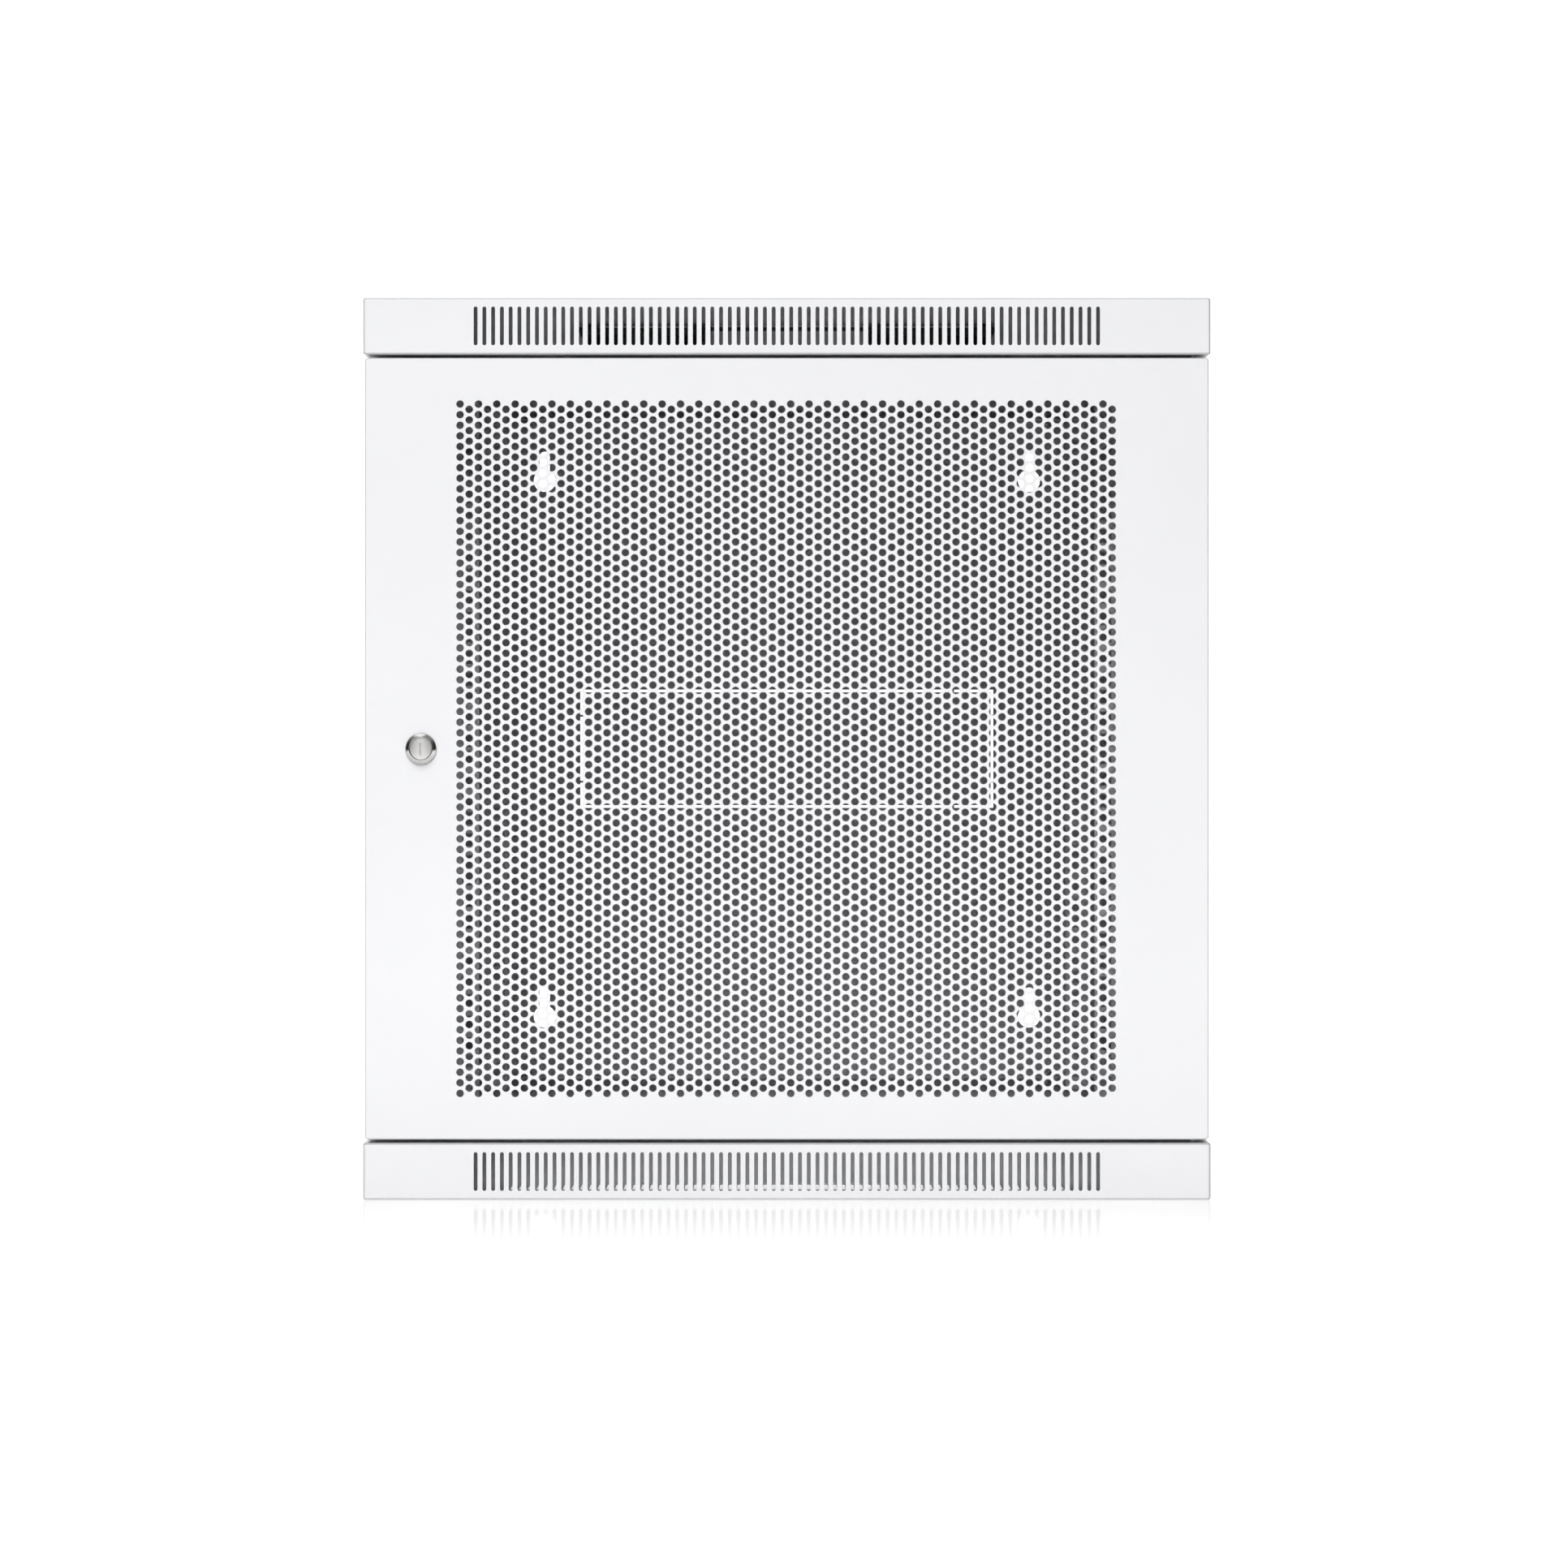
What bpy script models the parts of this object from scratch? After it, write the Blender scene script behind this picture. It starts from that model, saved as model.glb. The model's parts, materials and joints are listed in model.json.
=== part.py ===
"""A 12U wall-mount network rack cabinet with a vented front door.

Frame: +X to the viewer's right, +Y to the back, +Z up, in metres. The origin is on the
floor, under the middle of the cabinet. Left and right are those of someone facing the door.
"""

import math

import bmesh
import bpy
from mathutils import Matrix, Vector

# ---------------------------------------------------------------- driving dimensions

WIDTH = 0.600
DEPTH = 0.450
HEIGHT = 0.638

SHEET = 0.0012  # covers, door and panels
FRAME_SHEET = 0.0015  # posts, braces and mounting rails
FIT_GAP = 0.0003  # between two pieces that touch
SKIN_INSET = 0.0015  # the door and panels are this much narrower than the covers, per side

COVER_HEIGHT = 0.040
COVER_LIP = 0.012  # inward lip along the sides and the back of a cover
COVER_FRONT_LIP = 0.025  # the front lip is deeper: it carries the door's hinge

VENT_COUNT = 72
VENT_PITCH = 0.0062
VENT_WIDTH = 0.0028
VENT_LENGTH = 0.0275

FLOOR_VENT_COUNT = 64
FLOOR_VENT_PITCH = 0.0063
FLOOR_VENT_WIDTH = 0.003
FLOOR_VENT_FRONT_Y = -0.181
FLOOR_VENT_LENGTH = 0.033

ROOF_VENT_RADIUS = 0.040
ROOF_VENT_PITCH = 0.010
ROOF_VENT_WIDTH = 0.005
ROOF_VENT_COUNT = 5

DOOR_GAP = 0.0025  # above and below the door
DOOR_DEPTH = 0.018
HINGE_X = 0.288
HINGE_Y = -0.215
PIN_RADIUS = 0.003
PIN_HOLE_RADIUS = 0.0033
PIN_BRACKET_TOP = 0.561  # height of the shelf that carries the sprung pin's spring
PIN_COLLAR_HEIGHT = 0.003

STIFFENER_SHEET = 0.001
STIFFENER_DEPTH = 0.012
STIFFENER_END_GAP = 0.0175
LOCK_STIFFENER_X = (-0.244, -0.236)
HINGE_STIFFENER_X = (0.240, 0.262)

LOCK_X = -0.2587
LOCK_BEZEL_RADIUS = 0.011
LOCK_BARREL_RADIUS = 0.0095
LOCK_PLUG_RADIUS = 0.0076
CAM_LENGTH = 0.024
CAM_HALF_WIDTH = 0.007
DOOR_KEY_SLOT = (0.0023, 0.0085, 0.012)  # width, height and depth
LOCK_NUT_THICKNESS = 0.004
LOCK_NUT_ACROSS_FLATS = 0.024

BACK_PANEL_DEPTH = 0.015
KEYHOLE_X = 0.2054
KEYHOLE_SPACING_Z = 0.4545  # between the upper and the lower pair
KEYHOLE_RADIUS = 0.00925
KEYHOLE_SLOT_RADIUS = 0.00425
KEYHOLE_RISE = 0.0204  # from the round hole's centre to the slot's end centre
KNOCKOUT_WIDTH = 0.350
KNOCKOUT_HEIGHT = 0.100
KNOCKOUT_SLIT = 0.002
BRIDGE_WIDTH = 0.002
BRIDGE_X = 0.141
BRIDGE_Z = 0.028
BACK_SCREW_X = 0.220
BACK_SCREW_INSET = 0.0068

RACK_UNIT = 0.04445
RACK_UNITS = 12
RACK_HOLE_INSET = 0.00635  # of a unit's first and last holes, from the unit's ends
RACK_OPENING = 0.450  # between left and right rails
RAIL_HOLE_X = 0.46505 / 2
RAIL_HOLE_SIDE = 0.0095
RAIL_FACE_WIDTH = 0.020
RAIL_FLANGE = 0.040
RAIL_LENGTH = 0.550
FRONT_RAIL_Y = -0.148
REAR_RAIL_Y = 0.093
FRONT_RAIL_TRAVEL = (-0.022, 0.100)
REAR_RAIL_TRAVEL = (-0.100, 0.060)
RAIL_BOLT_RADIUS = 0.00275
BRACE_SLOT_HEIGHT = 0.0064

BRACE_HEIGHT = 0.030
BRACE_CENTRE_FROM_END = 0.070  # height of a brace's middle above the floor, or below the top
BRACE_REACH = 0.0397

POST_OUTER_X = 0.287
FRONT_POST_WIDTH = 0.0165
REAR_POST_WIDTH = 0.020
POST_FLANGE = 0.020
FRONT_POST_Y = -0.198
REAR_POST_Y = 0.208

STUD_RADIUS = 0.0025
STUD_LENGTH = 0.009
STUD_CLEARANCE = 0.0005
NUT_HEIGHT = 0.004
NUT_ACROSS_FLATS = 0.008

SIDE_PANEL_FRONT_Y = -0.200
SIDE_PANEL_BACK_Y = 0.208
SIDE_PANEL_FLANGE = 0.010
SIDE_PANEL_GAP_Z = 0.001
SIDE_LOCK_Y = -0.165
SIDE_BEZEL_RADIUS = 0.009
SIDE_BARREL_RADIUS = 0.0075
SIDE_PLUG_RADIUS = 0.0055
SIDE_KEY_SLOT = (0.0016, 0.006, 0.008)

FAN_X = 0.108
FAN_Y = -0.055
FAN_SIDE = 0.092
FAN_DEPTH = 0.025
FAN_BORE_RADIUS = 0.0435
FAN_HUB_RADIUS = 0.019
FAN_BLADES = 7
FAN_BLADE_PITCH = math.radians(38)
FAN_PLATE_WIDTH = 0.312
FAN_PLATE_TOP = 0.6336
FAN_PLATE_SHEET = 0.002
FAN_PLATE_BAR = 0.008  # depth of the bar that joins the two halves of the plate
FAN_PLATE_BORDER = 0.002  # left of the plate beside each fan
FAN_STANDOFF_X = 0.148
FAN_STANDOFF_RISE_Y = 0.040
FAN_STANDOFF_RADIUS = 0.004
FAN_ARM_HALF_WIDTH = 0.002
FAN_BLADE_HALF_CHORD = 0.011
FAN_BLADE_HALF_THICKNESS = 0.0007

ROUND_SIDES = 24
SMALL_SIDES = 12
CUT_MARGIN = 0.004  # how far a cutter reaches past the wall it cuts

# ---------------------------------------------------------------- places worked out

HALF_WIDTH = WIDTH / 2
FRONT_Y = -DEPTH / 2
BACK_Y = DEPTH / 2
MIDDLE_Z = HEIGHT / 2
SKIN_X = HALF_WIDTH - SKIN_INSET
DOOR_BOTTOM = COVER_HEIGHT + DOOR_GAP
DOOR_TOP = HEIGHT - DOOR_BOTTOM
DOOR_INNER_Y = FRONT_Y + SHEET
POST_BOTTOM = SHEET + FIT_GAP
KEYHOLE_CENTRES_Z = (MIDDLE_Z - KEYHOLE_SPACING_Z / 2, MIDDLE_Z + KEYHOLE_SPACING_Z / 2)
RAIL_OUTER_X = RACK_OPENING / 2 + RAIL_FACE_WIDTH
RAIL_BOLT_INSET = RAIL_FLANGE / 2
BRACE_X = RAIL_OUTER_X + FIT_GAP
BRACE_CENTRES_Z = {"lower": BRACE_CENTRE_FROM_END, "upper": HEIGHT - BRACE_CENTRE_FROM_END}
SIDES = {"left": -1, "right": 1}

# ---------------------------------------------------------------- scene helpers


def clear_scene():
    for item in list(bpy.data.objects):
        bpy.data.objects.remove(item)


def new_collection(name):
    made = bpy.data.collections.new(name)
    bpy.context.scene.collection.children.link(made)
    return made


def new_material(name, colour, roughness, metallic):
    made = bpy.data.materials.new(name)
    made.use_nodes = True
    shader = made.node_tree.nodes["Principled BSDF"]
    shader.inputs["Base Color"].default_value = (*colour, 1)
    shader.inputs["Roughness"].default_value = roughness
    shader.inputs["Metallic"].default_value = metallic
    made.diffuse_color = (*colour, 1)
    return made


def new_object(name, data, group, material=None):
    """An object in one of the two collections. A cutter shows as a wire only."""
    made = bpy.data.objects.new(name, data)
    group.objects.link(made)
    if material:
        data.materials.append(material)
    else:
        made.hide_render = True
        made.display_type = "WIRE"
    return made


def mesh_from(name, shape):
    made = bpy.data.meshes.new(name)
    shape.to_mesh(made)
    shape.free()
    return made


def evaluated_mesh(item):
    """The item's mesh with its modifiers applied, and the item itself removed."""
    bpy.context.view_layer.update()
    graph = bpy.context.evaluated_depsgraph_get()
    made = bpy.data.meshes.new_from_object(item.evaluated_get(graph))
    bpy.data.objects.remove(item)
    return made


def shade_round(mesh):
    mesh.shade_smooth()
    mesh.set_sharp_from_angle(angle=math.radians(40))


def cut(item, *cutters):
    for cutter in cutters:
        step = item.modifiers.new("cut_" + cutter.name, "BOOLEAN")
        step.operation = "DIFFERENCE"
        step.object = cutter


def join(item, *others):
    for other in others:
        step = item.modifiers.new("join_" + other.name, "BOOLEAN")
        step.operation = "UNION"
        step.object = other


def ride_on_axis(name, place, *items):
    """An empty on a joint's axis, which carries the pieces that move with the joint."""
    axis = bpy.data.objects.new(name, None)
    axis.location = place
    axis.empty_display_size = 0.02
    PARTS.objects.link(axis)
    for item in items:
        item.parent = axis
        item.matrix_parent_inverse = Matrix.Translation(-Vector(place))


# ---------------------------------------------------------------- shape helpers


def add_box(shape, low, high):
    """A cube primitive stretched between two corners, which may come in any order."""
    middle = (Vector(low) + Vector(high)) / 2
    size = [abs(b - a) for a, b in zip(low, high)]
    place = Matrix.Translation(middle) @ Matrix.Diagonal((*size, 1))
    return bmesh.ops.create_cube(shape, size=1, matrix=place)["verts"]


def boxes(name, corners, group, material=None):
    shape = bmesh.new()
    for low, high in corners:
        add_box(shape, low, high)
    return new_object(name, mesh_from(name, shape), group, material)


def drums(name, centres, radius, length, direction, sides=SMALL_SIDES):
    """Cutters or studs: equal cylinders at several places, all along one direction."""
    shape = bmesh.new()
    turn = Vector(direction).to_track_quat("Z", "Y").to_matrix().to_4x4()
    for centre in centres:
        place = Matrix.Translation(centre) @ turn
        bmesh.ops.create_cone(
            shape, cap_ends=True, segments=sides, radius1=radius, radius2=radius,
            depth=length, matrix=place,
        )
    return new_object(name, mesh_from(name, shape), CUTTERS)


def turned(name, profile, place, direction, material, closed=False, sides=ROUND_SIDES):
    """A profile of (radius, height) points turned about the line from place along direction.

    The profile runs down its outer side, so a solid one starts at its top on the axis, and a
    closed one, for a ring or a tube, comes back up on its inner side.
    """
    shape = bmesh.new()
    points = [shape.verts.new((radius, 0, height)) for radius, height in profile]
    for first, second in zip(points, points[1:]):
        shape.edges.new((first, second))
    if closed:
        shape.edges.new((points[-1], points[0]))
    turning = new_object(name + "_profile", mesh_from(name, shape), CUTTERS)
    step = turning.modifiers.new("turn", "SCREW")
    step.steps = sides
    step.render_steps = sides
    step.use_merge_vertices = True
    step.merge_threshold = 0.00001
    mesh = evaluated_mesh(turning)
    shade_round(mesh)
    made = new_object(name, mesh, PARTS, material)
    made.location = place
    made.rotation_mode = "QUATERNION"
    made.rotation_quaternion = Vector(direction).to_track_quat("Z", "Y")
    return made


def outline_plate(name, points, thickness, place, group, material=None):
    """A flat outline extruded to a plate. place carries the outline's plane to its own."""
    curve = bpy.data.curves.new(name + "_outline", "CURVE")
    curve.dimensions = "2D"
    curve.fill_mode = "BOTH"
    curve.extrude = thickness / 2
    spline = curve.splines.new("POLY")
    spline.points.add(len(points) - 1)
    for point, (across, along) in zip(spline.points, points):
        point.co = (across, along, 0, 1)
    spline.use_cyclic_u = True
    drawn = bpy.data.objects.new(name + "_outline", curve)
    CUTTERS.objects.link(drawn)
    mesh = evaluated_mesh(drawn)
    shape = bmesh.new()
    shape.from_mesh(mesh)
    bmesh.ops.remove_doubles(shape, verts=shape.verts, dist=0.00001)
    bmesh.ops.transform(shape, matrix=place, verts=shape.verts)
    bmesh.ops.recalc_face_normals(shape, faces=shape.faces)
    return new_object(name, mesh_from(name, shape), group, material)


def arc(centre, radius, start, end, steps):
    """Points along an arc, with its angles in degrees."""
    points = []
    for step in range(steps + 1):
        angle = math.radians(start + (end - start) * step / steps)
        points.append((centre[0] + radius * math.cos(angle), centre[1] + radius * math.sin(angle)))
    return points


def folded_sheet(name, low, high, walls, thickness, material):
    """Sheet metal folded as some of the walls of a box, inside the box's outer size.

    walls names the ones that are there: -x, +x, -y, +y, -z and +z.
    """
    shape = bmesh.new()
    add_box(shape, low, high)
    absent = [face for face in shape.faces if wall_name(face) not in walls]
    bmesh.ops.delete(shape, geom=absent, context="FACES")
    made = new_object(name, mesh_from(name, shape), PARTS, material)
    thicken(made, thickness)
    return made


def wall_name(face):
    axis = max(range(3), key=lambda index: abs(face.normal[index]))
    return ("+" if face.normal[axis] > 0 else "-") + "xyz"[axis]


def thicken(item, thickness):
    step = item.modifiers.new("thickness", "SOLIDIFY")
    step.thickness = thickness
    step.offset = -1
    step.use_even_offset = True


# ---------------------------------------------------------------- covers


def cover(name, above):
    """A shallow tray with inward lips, slots along its front and studs for the posts.

    The top one opens downwards. The bottom one is its mirror image in height, with a row of
    slots in its floor instead of the fan slots.
    """

    def level(height):
        return height if above else HEIGHT - height

    shape = bmesh.new()
    rim = level(HEIGHT - COVER_HEIGHT)
    add_box(shape, (-HALF_WIDTH, FRONT_Y, rim), (HALF_WIDTH, BACK_Y, level(HEIGHT)))
    mouth = next(face for face in shape.faces if wall_name(face) == ("-z" if above else "+z"))
    bmesh.ops.inset_individual(shape, faces=[mouth], thickness=COVER_LIP, use_even_offset=True)
    for corner in mouth.verts:
        if corner.co.y < 0:
            corner.co.y = FRONT_Y + COVER_FRONT_LIP
    bmesh.ops.delete(shape, geom=[mouth], context="FACES_ONLY")
    made = new_object(name, mesh_from(name, shape), PARTS, PAINT)
    thicken(made, SHEET)

    stud_base = level(HEIGHT - SHEET / 2)
    stud_end = level(HEIGHT - SHEET - STUD_LENGTH)
    studs = [(x, y, (stud_base + stud_end) / 2) for x, y in post_stud_places()]
    join(made, drums(name + "_studs", studs, STUD_RADIUS, abs(stud_base - stud_end), (0, 0, 1)))

    cut(made, front_vents(name + "_vents", level(HEIGHT - COVER_HEIGHT / 2)))
    lip = level(HEIGHT - COVER_HEIGHT + SHEET / 2)
    lip_cut = 2 * CUT_MARGIN
    hinge = [(HINGE_X, HINGE_Y, lip)]
    cut(made, drums(name + "_hinge_hole", hinge, PIN_HOLE_RADIUS, lip_cut, (0, 0, 1)))
    screws = [(x, y, lip) for x, y in back_screw_places()]
    cut(made, drums(name + "_screw_holes", screws, STUD_RADIUS + STUD_CLEARANCE, lip_cut, (0, 0, 1)))
    cut(made, roof_vents() if above else floor_vents())


def post_stud_places():
    front_x = POST_OUTER_X - FRONT_POST_WIDTH / 2
    rear_x = POST_OUTER_X - REAR_POST_WIDTH / 2
    places = []
    for side in SIDES.values():
        places.append((side * front_x, FRONT_POST_Y + POST_FLANGE / 2))
        places.append((side * rear_x, REAR_POST_Y - POST_FLANGE / 2))
    return places


def back_screw_places():
    return [(side * BACK_SCREW_X, BACK_Y - BACK_SCREW_INSET) for side in SIDES.values()]


def front_vents(name, middle):
    slots = []
    for index in range(VENT_COUNT):
        x = (index - (VENT_COUNT - 1) / 2) * VENT_PITCH
        low = (x - VENT_WIDTH / 2, FRONT_Y - CUT_MARGIN, middle - VENT_LENGTH / 2)
        high = (x + VENT_WIDTH / 2, FRONT_Y + CUT_MARGIN, middle + VENT_LENGTH / 2)
        slots.append((low, high))
    return boxes(name, slots, CUTTERS)


def roof_vents():
    """Above each fan, a round field of slots that run from left to right."""
    slots = []
    for side in SIDES.values():
        for index in range(ROOF_VENT_COUNT):
            offset = (index - (ROOF_VENT_COUNT - 1) / 2) * ROOF_VENT_PITCH
            half = math.sqrt(ROOF_VENT_RADIUS**2 - offset**2)
            y = FAN_Y + offset
            low = (side * FAN_X - half, y - ROOF_VENT_WIDTH / 2, HEIGHT - CUT_MARGIN)
            high = (side * FAN_X + half, y + ROOF_VENT_WIDTH / 2, HEIGHT + CUT_MARGIN)
            slots.append((low, high))
    return boxes("roof_vents", slots, CUTTERS)


def floor_vents():
    """A row of slots just inside the front, which let cool air in from below."""
    slots = []
    for index in range(FLOOR_VENT_COUNT):
        x = (index - (FLOOR_VENT_COUNT - 1) / 2) * FLOOR_VENT_PITCH
        low = (x - FLOOR_VENT_WIDTH / 2, FLOOR_VENT_FRONT_Y, -CUT_MARGIN)
        high = (x + FLOOR_VENT_WIDTH / 2, FLOOR_VENT_FRONT_Y + FLOOR_VENT_LENGTH, CUT_MARGIN)
        slots.append((low, high))
    return boxes("floor_vents", slots, CUTTERS)


# ---------------------------------------------------------------- back panel


def back_panel():
    bottom = COVER_HEIGHT + SIDE_PANEL_GAP_Z
    low = (-SKIN_X, BACK_Y - BACK_PANEL_DEPTH, bottom)
    high = (SKIN_X, BACK_Y, HEIGHT - bottom)
    made = folded_sheet("back_panel", low, high, ("+y", "-x", "+x", "-z", "+z"), SHEET, PAINT)
    for side_name, side in SIDES.items():
        for level_name, z in zip(("lower", "upper"), KEYHOLE_CENTRES_Z):
            name = f"{level_name}_{side_name}_keyhole"
            cut(made, keyhole(name, (side * KEYHOLE_X, BACK_Y, z)))
    cut(made, *knockout_slits())
    screws = []
    for x, y in back_screw_places():
        screws += [(x, y, bottom + SHEET / 2), (x, y, HEIGHT - bottom - SHEET / 2)]
    holes = drums("back_panel_screw_holes", screws, STUD_RADIUS + STUD_CLEARANCE, 2 * CUT_MARGIN, (0, 0, 1))
    cut(made, holes)
    return made


def keyhole(name, centre):
    """A round hole with a narrower slot above it, for hanging on a wall screw."""
    meeting = math.degrees(math.asin(KEYHOLE_SLOT_RADIUS / KEYHOLE_RADIUS))
    points = arc((0, 0), KEYHOLE_RADIUS, 90 + meeting, 450 - meeting, SMALL_SIDES)
    points += arc((0, KEYHOLE_RISE), KEYHOLE_SLOT_RADIUS, 0, 180, SMALL_SIDES // 2)
    place = Matrix.Translation(centre) @ Matrix.Rotation(math.radians(90), 4, "X")
    return outline_plate(name, points, 2 * CUT_MARGIN, place, CUTTERS)


def knockout_slits():
    """Slits round a plate that can be broken out, with small bridges that hold it."""
    near, far = BACK_Y - CUT_MARGIN, BACK_Y + CUT_MARGIN
    half_width = KNOCKOUT_WIDTH / 2
    half_height = KNOCKOUT_HEIGHT / 2
    level_slits = []
    upright_slits = []
    for side in (-1, 1):
        edge = MIDDLE_Z + side * half_height
        inner = edge - side * KNOCKOUT_SLIT
        for start, end in bridged(half_width, BRIDGE_X):
            level_slits.append(((start, near, edge), (end, far, inner)))
        edge = side * half_width
        inner = edge - side * KNOCKOUT_SLIT
        for start, end in bridged(half_height - KNOCKOUT_SLIT / 2, BRIDGE_Z):
            upright_slits.append(((edge, near, MIDDLE_Z + start), (inner, far, MIDDLE_Z + end)))
    return (
        boxes("knockout_level_slits", level_slits, CUTTERS),
        boxes("knockout_upright_slits", upright_slits, CUTTERS),
    )


def bridged(half_length, bridge):
    """The three stretches of a slit that is broken by a bridge on each side of its middle."""
    inner = bridge - BRIDGE_WIDTH / 2
    outer = bridge + BRIDGE_WIDTH / 2
    return ((-half_length, -outer), (-inner, inner), (outer, half_length))


# ---------------------------------------------------------------- frame


def front_post(side_name, side):
    inner = POST_OUTER_X - FRONT_POST_WIDTH
    low = (side * inner, FRONT_POST_Y, POST_BOTTOM)
    high = (side * POST_OUTER_X, FRONT_POST_Y + POST_FLANGE, HEIGHT - POST_BOTTOM)
    walls = ("-y", "+x" if side > 0 else "-x", "-z", "+z")
    made = folded_sheet(f"front_{side_name}_post", low, high, walls, FRAME_SHEET, PAINT)
    place = (side * (inner + POST_OUTER_X) / 2, FRONT_POST_Y + POST_FLANGE / 2)
    cut(made, post_end_holes(made.name, place))


def rear_post(side_name, side):
    inner = POST_OUTER_X - REAR_POST_WIDTH
    low = (side * inner, REAR_POST_Y - POST_FLANGE, POST_BOTTOM)
    high = (side * POST_OUTER_X, REAR_POST_Y, HEIGHT - POST_BOTTOM)
    walls = ("+y", "+x" if side > 0 else "-x", "-z", "+z")
    made = folded_sheet(f"rear_{side_name}_post", low, high, walls, FRAME_SHEET, PAINT)
    place = (side * (inner + POST_OUTER_X) / 2, REAR_POST_Y - POST_FLANGE / 2)
    cut(made, post_end_holes(made.name, place))


def post_end_holes(name, place):
    ends = [(*place, POST_BOTTOM), (*place, HEIGHT - POST_BOTTOM)]
    return drums(name + "_holes", ends, STUD_RADIUS + STUD_CLEARANCE, 2 * CUT_MARGIN, (0, 0, 1))


def post_nuts():
    """A nut on each cover stud, tightened against the end of the post."""
    reach = POST_BOTTOM + FRAME_SHEET + FIT_GAP + NUT_HEIGHT / 2
    corners = {"front": 0, "rear": 1}
    for side_index, side_name in enumerate(SIDES):
        for end_name, end_index in corners.items():
            x, y = post_stud_places()[2 * side_index + end_index]
            for level_name, z in (("lower", reach), ("upper", HEIGHT - reach)):
                nut(f"{level_name}_{end_name}_{side_name}_nut", (x, y, z))


def nut(name, place):
    shape = bmesh.new()
    corner_radius = NUT_ACROSS_FLATS / math.sqrt(3)
    bmesh.ops.create_cone(
        shape, cap_ends=True, segments=6, radius1=corner_radius, radius2=corner_radius,
        depth=NUT_HEIGHT, matrix=Matrix.Translation(place),
    )
    made = new_object(name, mesh_from(name, shape), PARTS, ZINC)
    bore = drums(name + "_bore", [place], STUD_RADIUS + FIT_GAP, 2 * NUT_HEIGHT, (0, 0, 1))
    cut(made, bore)


def back_panel_screws():
    """Screws that tie the back panel's lips to the lips of the two covers."""
    lip_face = COVER_HEIGHT + SIDE_PANEL_GAP_Z + SHEET + FIT_GAP
    profile = ((0, 0.0032), (0.0045, 0.0032), (0.0045, 0), (STUD_RADIUS, 0), (STUD_RADIUS, -0.007),
               (0, -0.007))
    for side_name, (x, y) in zip(SIDES, back_screw_places()):
        for level_name, z, up in (("lower", lip_face, 1), ("upper", HEIGHT - lip_face, -1)):
            name = f"{level_name}_{side_name}_back_screw"
            turned(name, profile, (x, y, z), (0, 0, up), ZINC, sides=SMALL_SIDES)


def brace(level_name, side_name, side):
    """Ties a front post to a rear post. The rails' bolts run in its two long slots."""
    middle = BRACE_CENTRES_Z[level_name]
    low = (side * BRACE_X, FRONT_POST_Y + FRAME_SHEET + FIT_GAP, middle - BRACE_HEIGHT / 2)
    high = (
        side * (BRACE_X + BRACE_REACH), REAR_POST_Y - FRAME_SHEET - FIT_GAP,
        middle + BRACE_HEIGHT / 2,
    )
    walls = ("-x" if side > 0 else "+x", "-y", "+y")
    made = folded_sheet(f"{level_name}_{side_name}_brace", low, high, walls, FRAME_SHEET, ZINC)
    slots = []
    for rail_y, travel in ((FRONT_RAIL_Y, FRONT_RAIL_TRAVEL), (REAR_RAIL_Y, REAR_RAIL_TRAVEL)):
        start = rail_y + RAIL_BOLT_INSET + travel[0] - BRACE_SLOT_HEIGHT / 2
        end = rail_y + RAIL_BOLT_INSET + travel[1] + BRACE_SLOT_HEIGHT / 2
        near = (side * (BRACE_X - CUT_MARGIN), start, middle - BRACE_SLOT_HEIGHT / 2)
        far = (side * (BRACE_X + CUT_MARGIN), end, middle + BRACE_SLOT_HEIGHT / 2)
        slots.append((near, far))
    cut(made, boxes(made.name + "_slots", slots, CUTTERS))


def rail(end_name, side_name, side, face_y):
    """A mounting rail: a face with three square holes per rack unit, and a side flange."""
    bottom = MIDDLE_Z - RAIL_LENGTH / 2
    low = (side * RACK_OPENING / 2, face_y, bottom)
    high = (side * RAIL_OUTER_X, face_y + RAIL_FLANGE, bottom + RAIL_LENGTH)
    walls = ("-y", "+x" if side > 0 else "-x")
    name = f"{end_name}_{side_name}_rail"
    made = folded_sheet(name, low, high, walls, FRAME_SHEET, PAINT)
    holes = []
    half = RAIL_HOLE_SIDE / 2
    for z in rack_hole_heights():
        x = side * RAIL_HOLE_X
        low = (x - half, face_y - CUT_MARGIN, z - half)
        high = (x + half, face_y + CUT_MARGIN, z + half)
        holes.append((low, high))
    cut(made, boxes(name + "_square_holes", holes, CUTTERS))
    bolt_x = side * RAIL_OUTER_X
    bolts = [(bolt_x, face_y + RAIL_BOLT_INSET, z) for z in BRACE_CENTRES_Z.values()]
    hole_radius = RAIL_BOLT_RADIUS + FIT_GAP
    cut(made, drums(name + "_bolt_holes", bolts, hole_radius, 2 * CUT_MARGIN, (1, 0, 0)))
    pieces = [made]
    for level_name, (x, y, z) in zip(BRACE_CENTRES_Z, bolts):
        place = (side * (BRACE_X + FRAME_SHEET + FIT_GAP), y, z)
        pieces.append(rail_bolt(f"{level_name}_{name}_bolt", place, side))
    ride_on_axis(name + "_slide", (0, face_y, MIDDLE_Z), *pieces)


def rack_hole_heights():
    """Three holes in every rack unit, at the standard's uneven spacing."""
    bottom = MIDDLE_Z - RACK_UNITS * RACK_UNIT / 2
    heights = []
    for unit in range(RACK_UNITS):
        for within in (RACK_HOLE_INSET, RACK_UNIT / 2, RACK_UNIT - RACK_HOLE_INSET):
            heights.append(bottom + unit * RACK_UNIT + within)
    return heights


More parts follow.
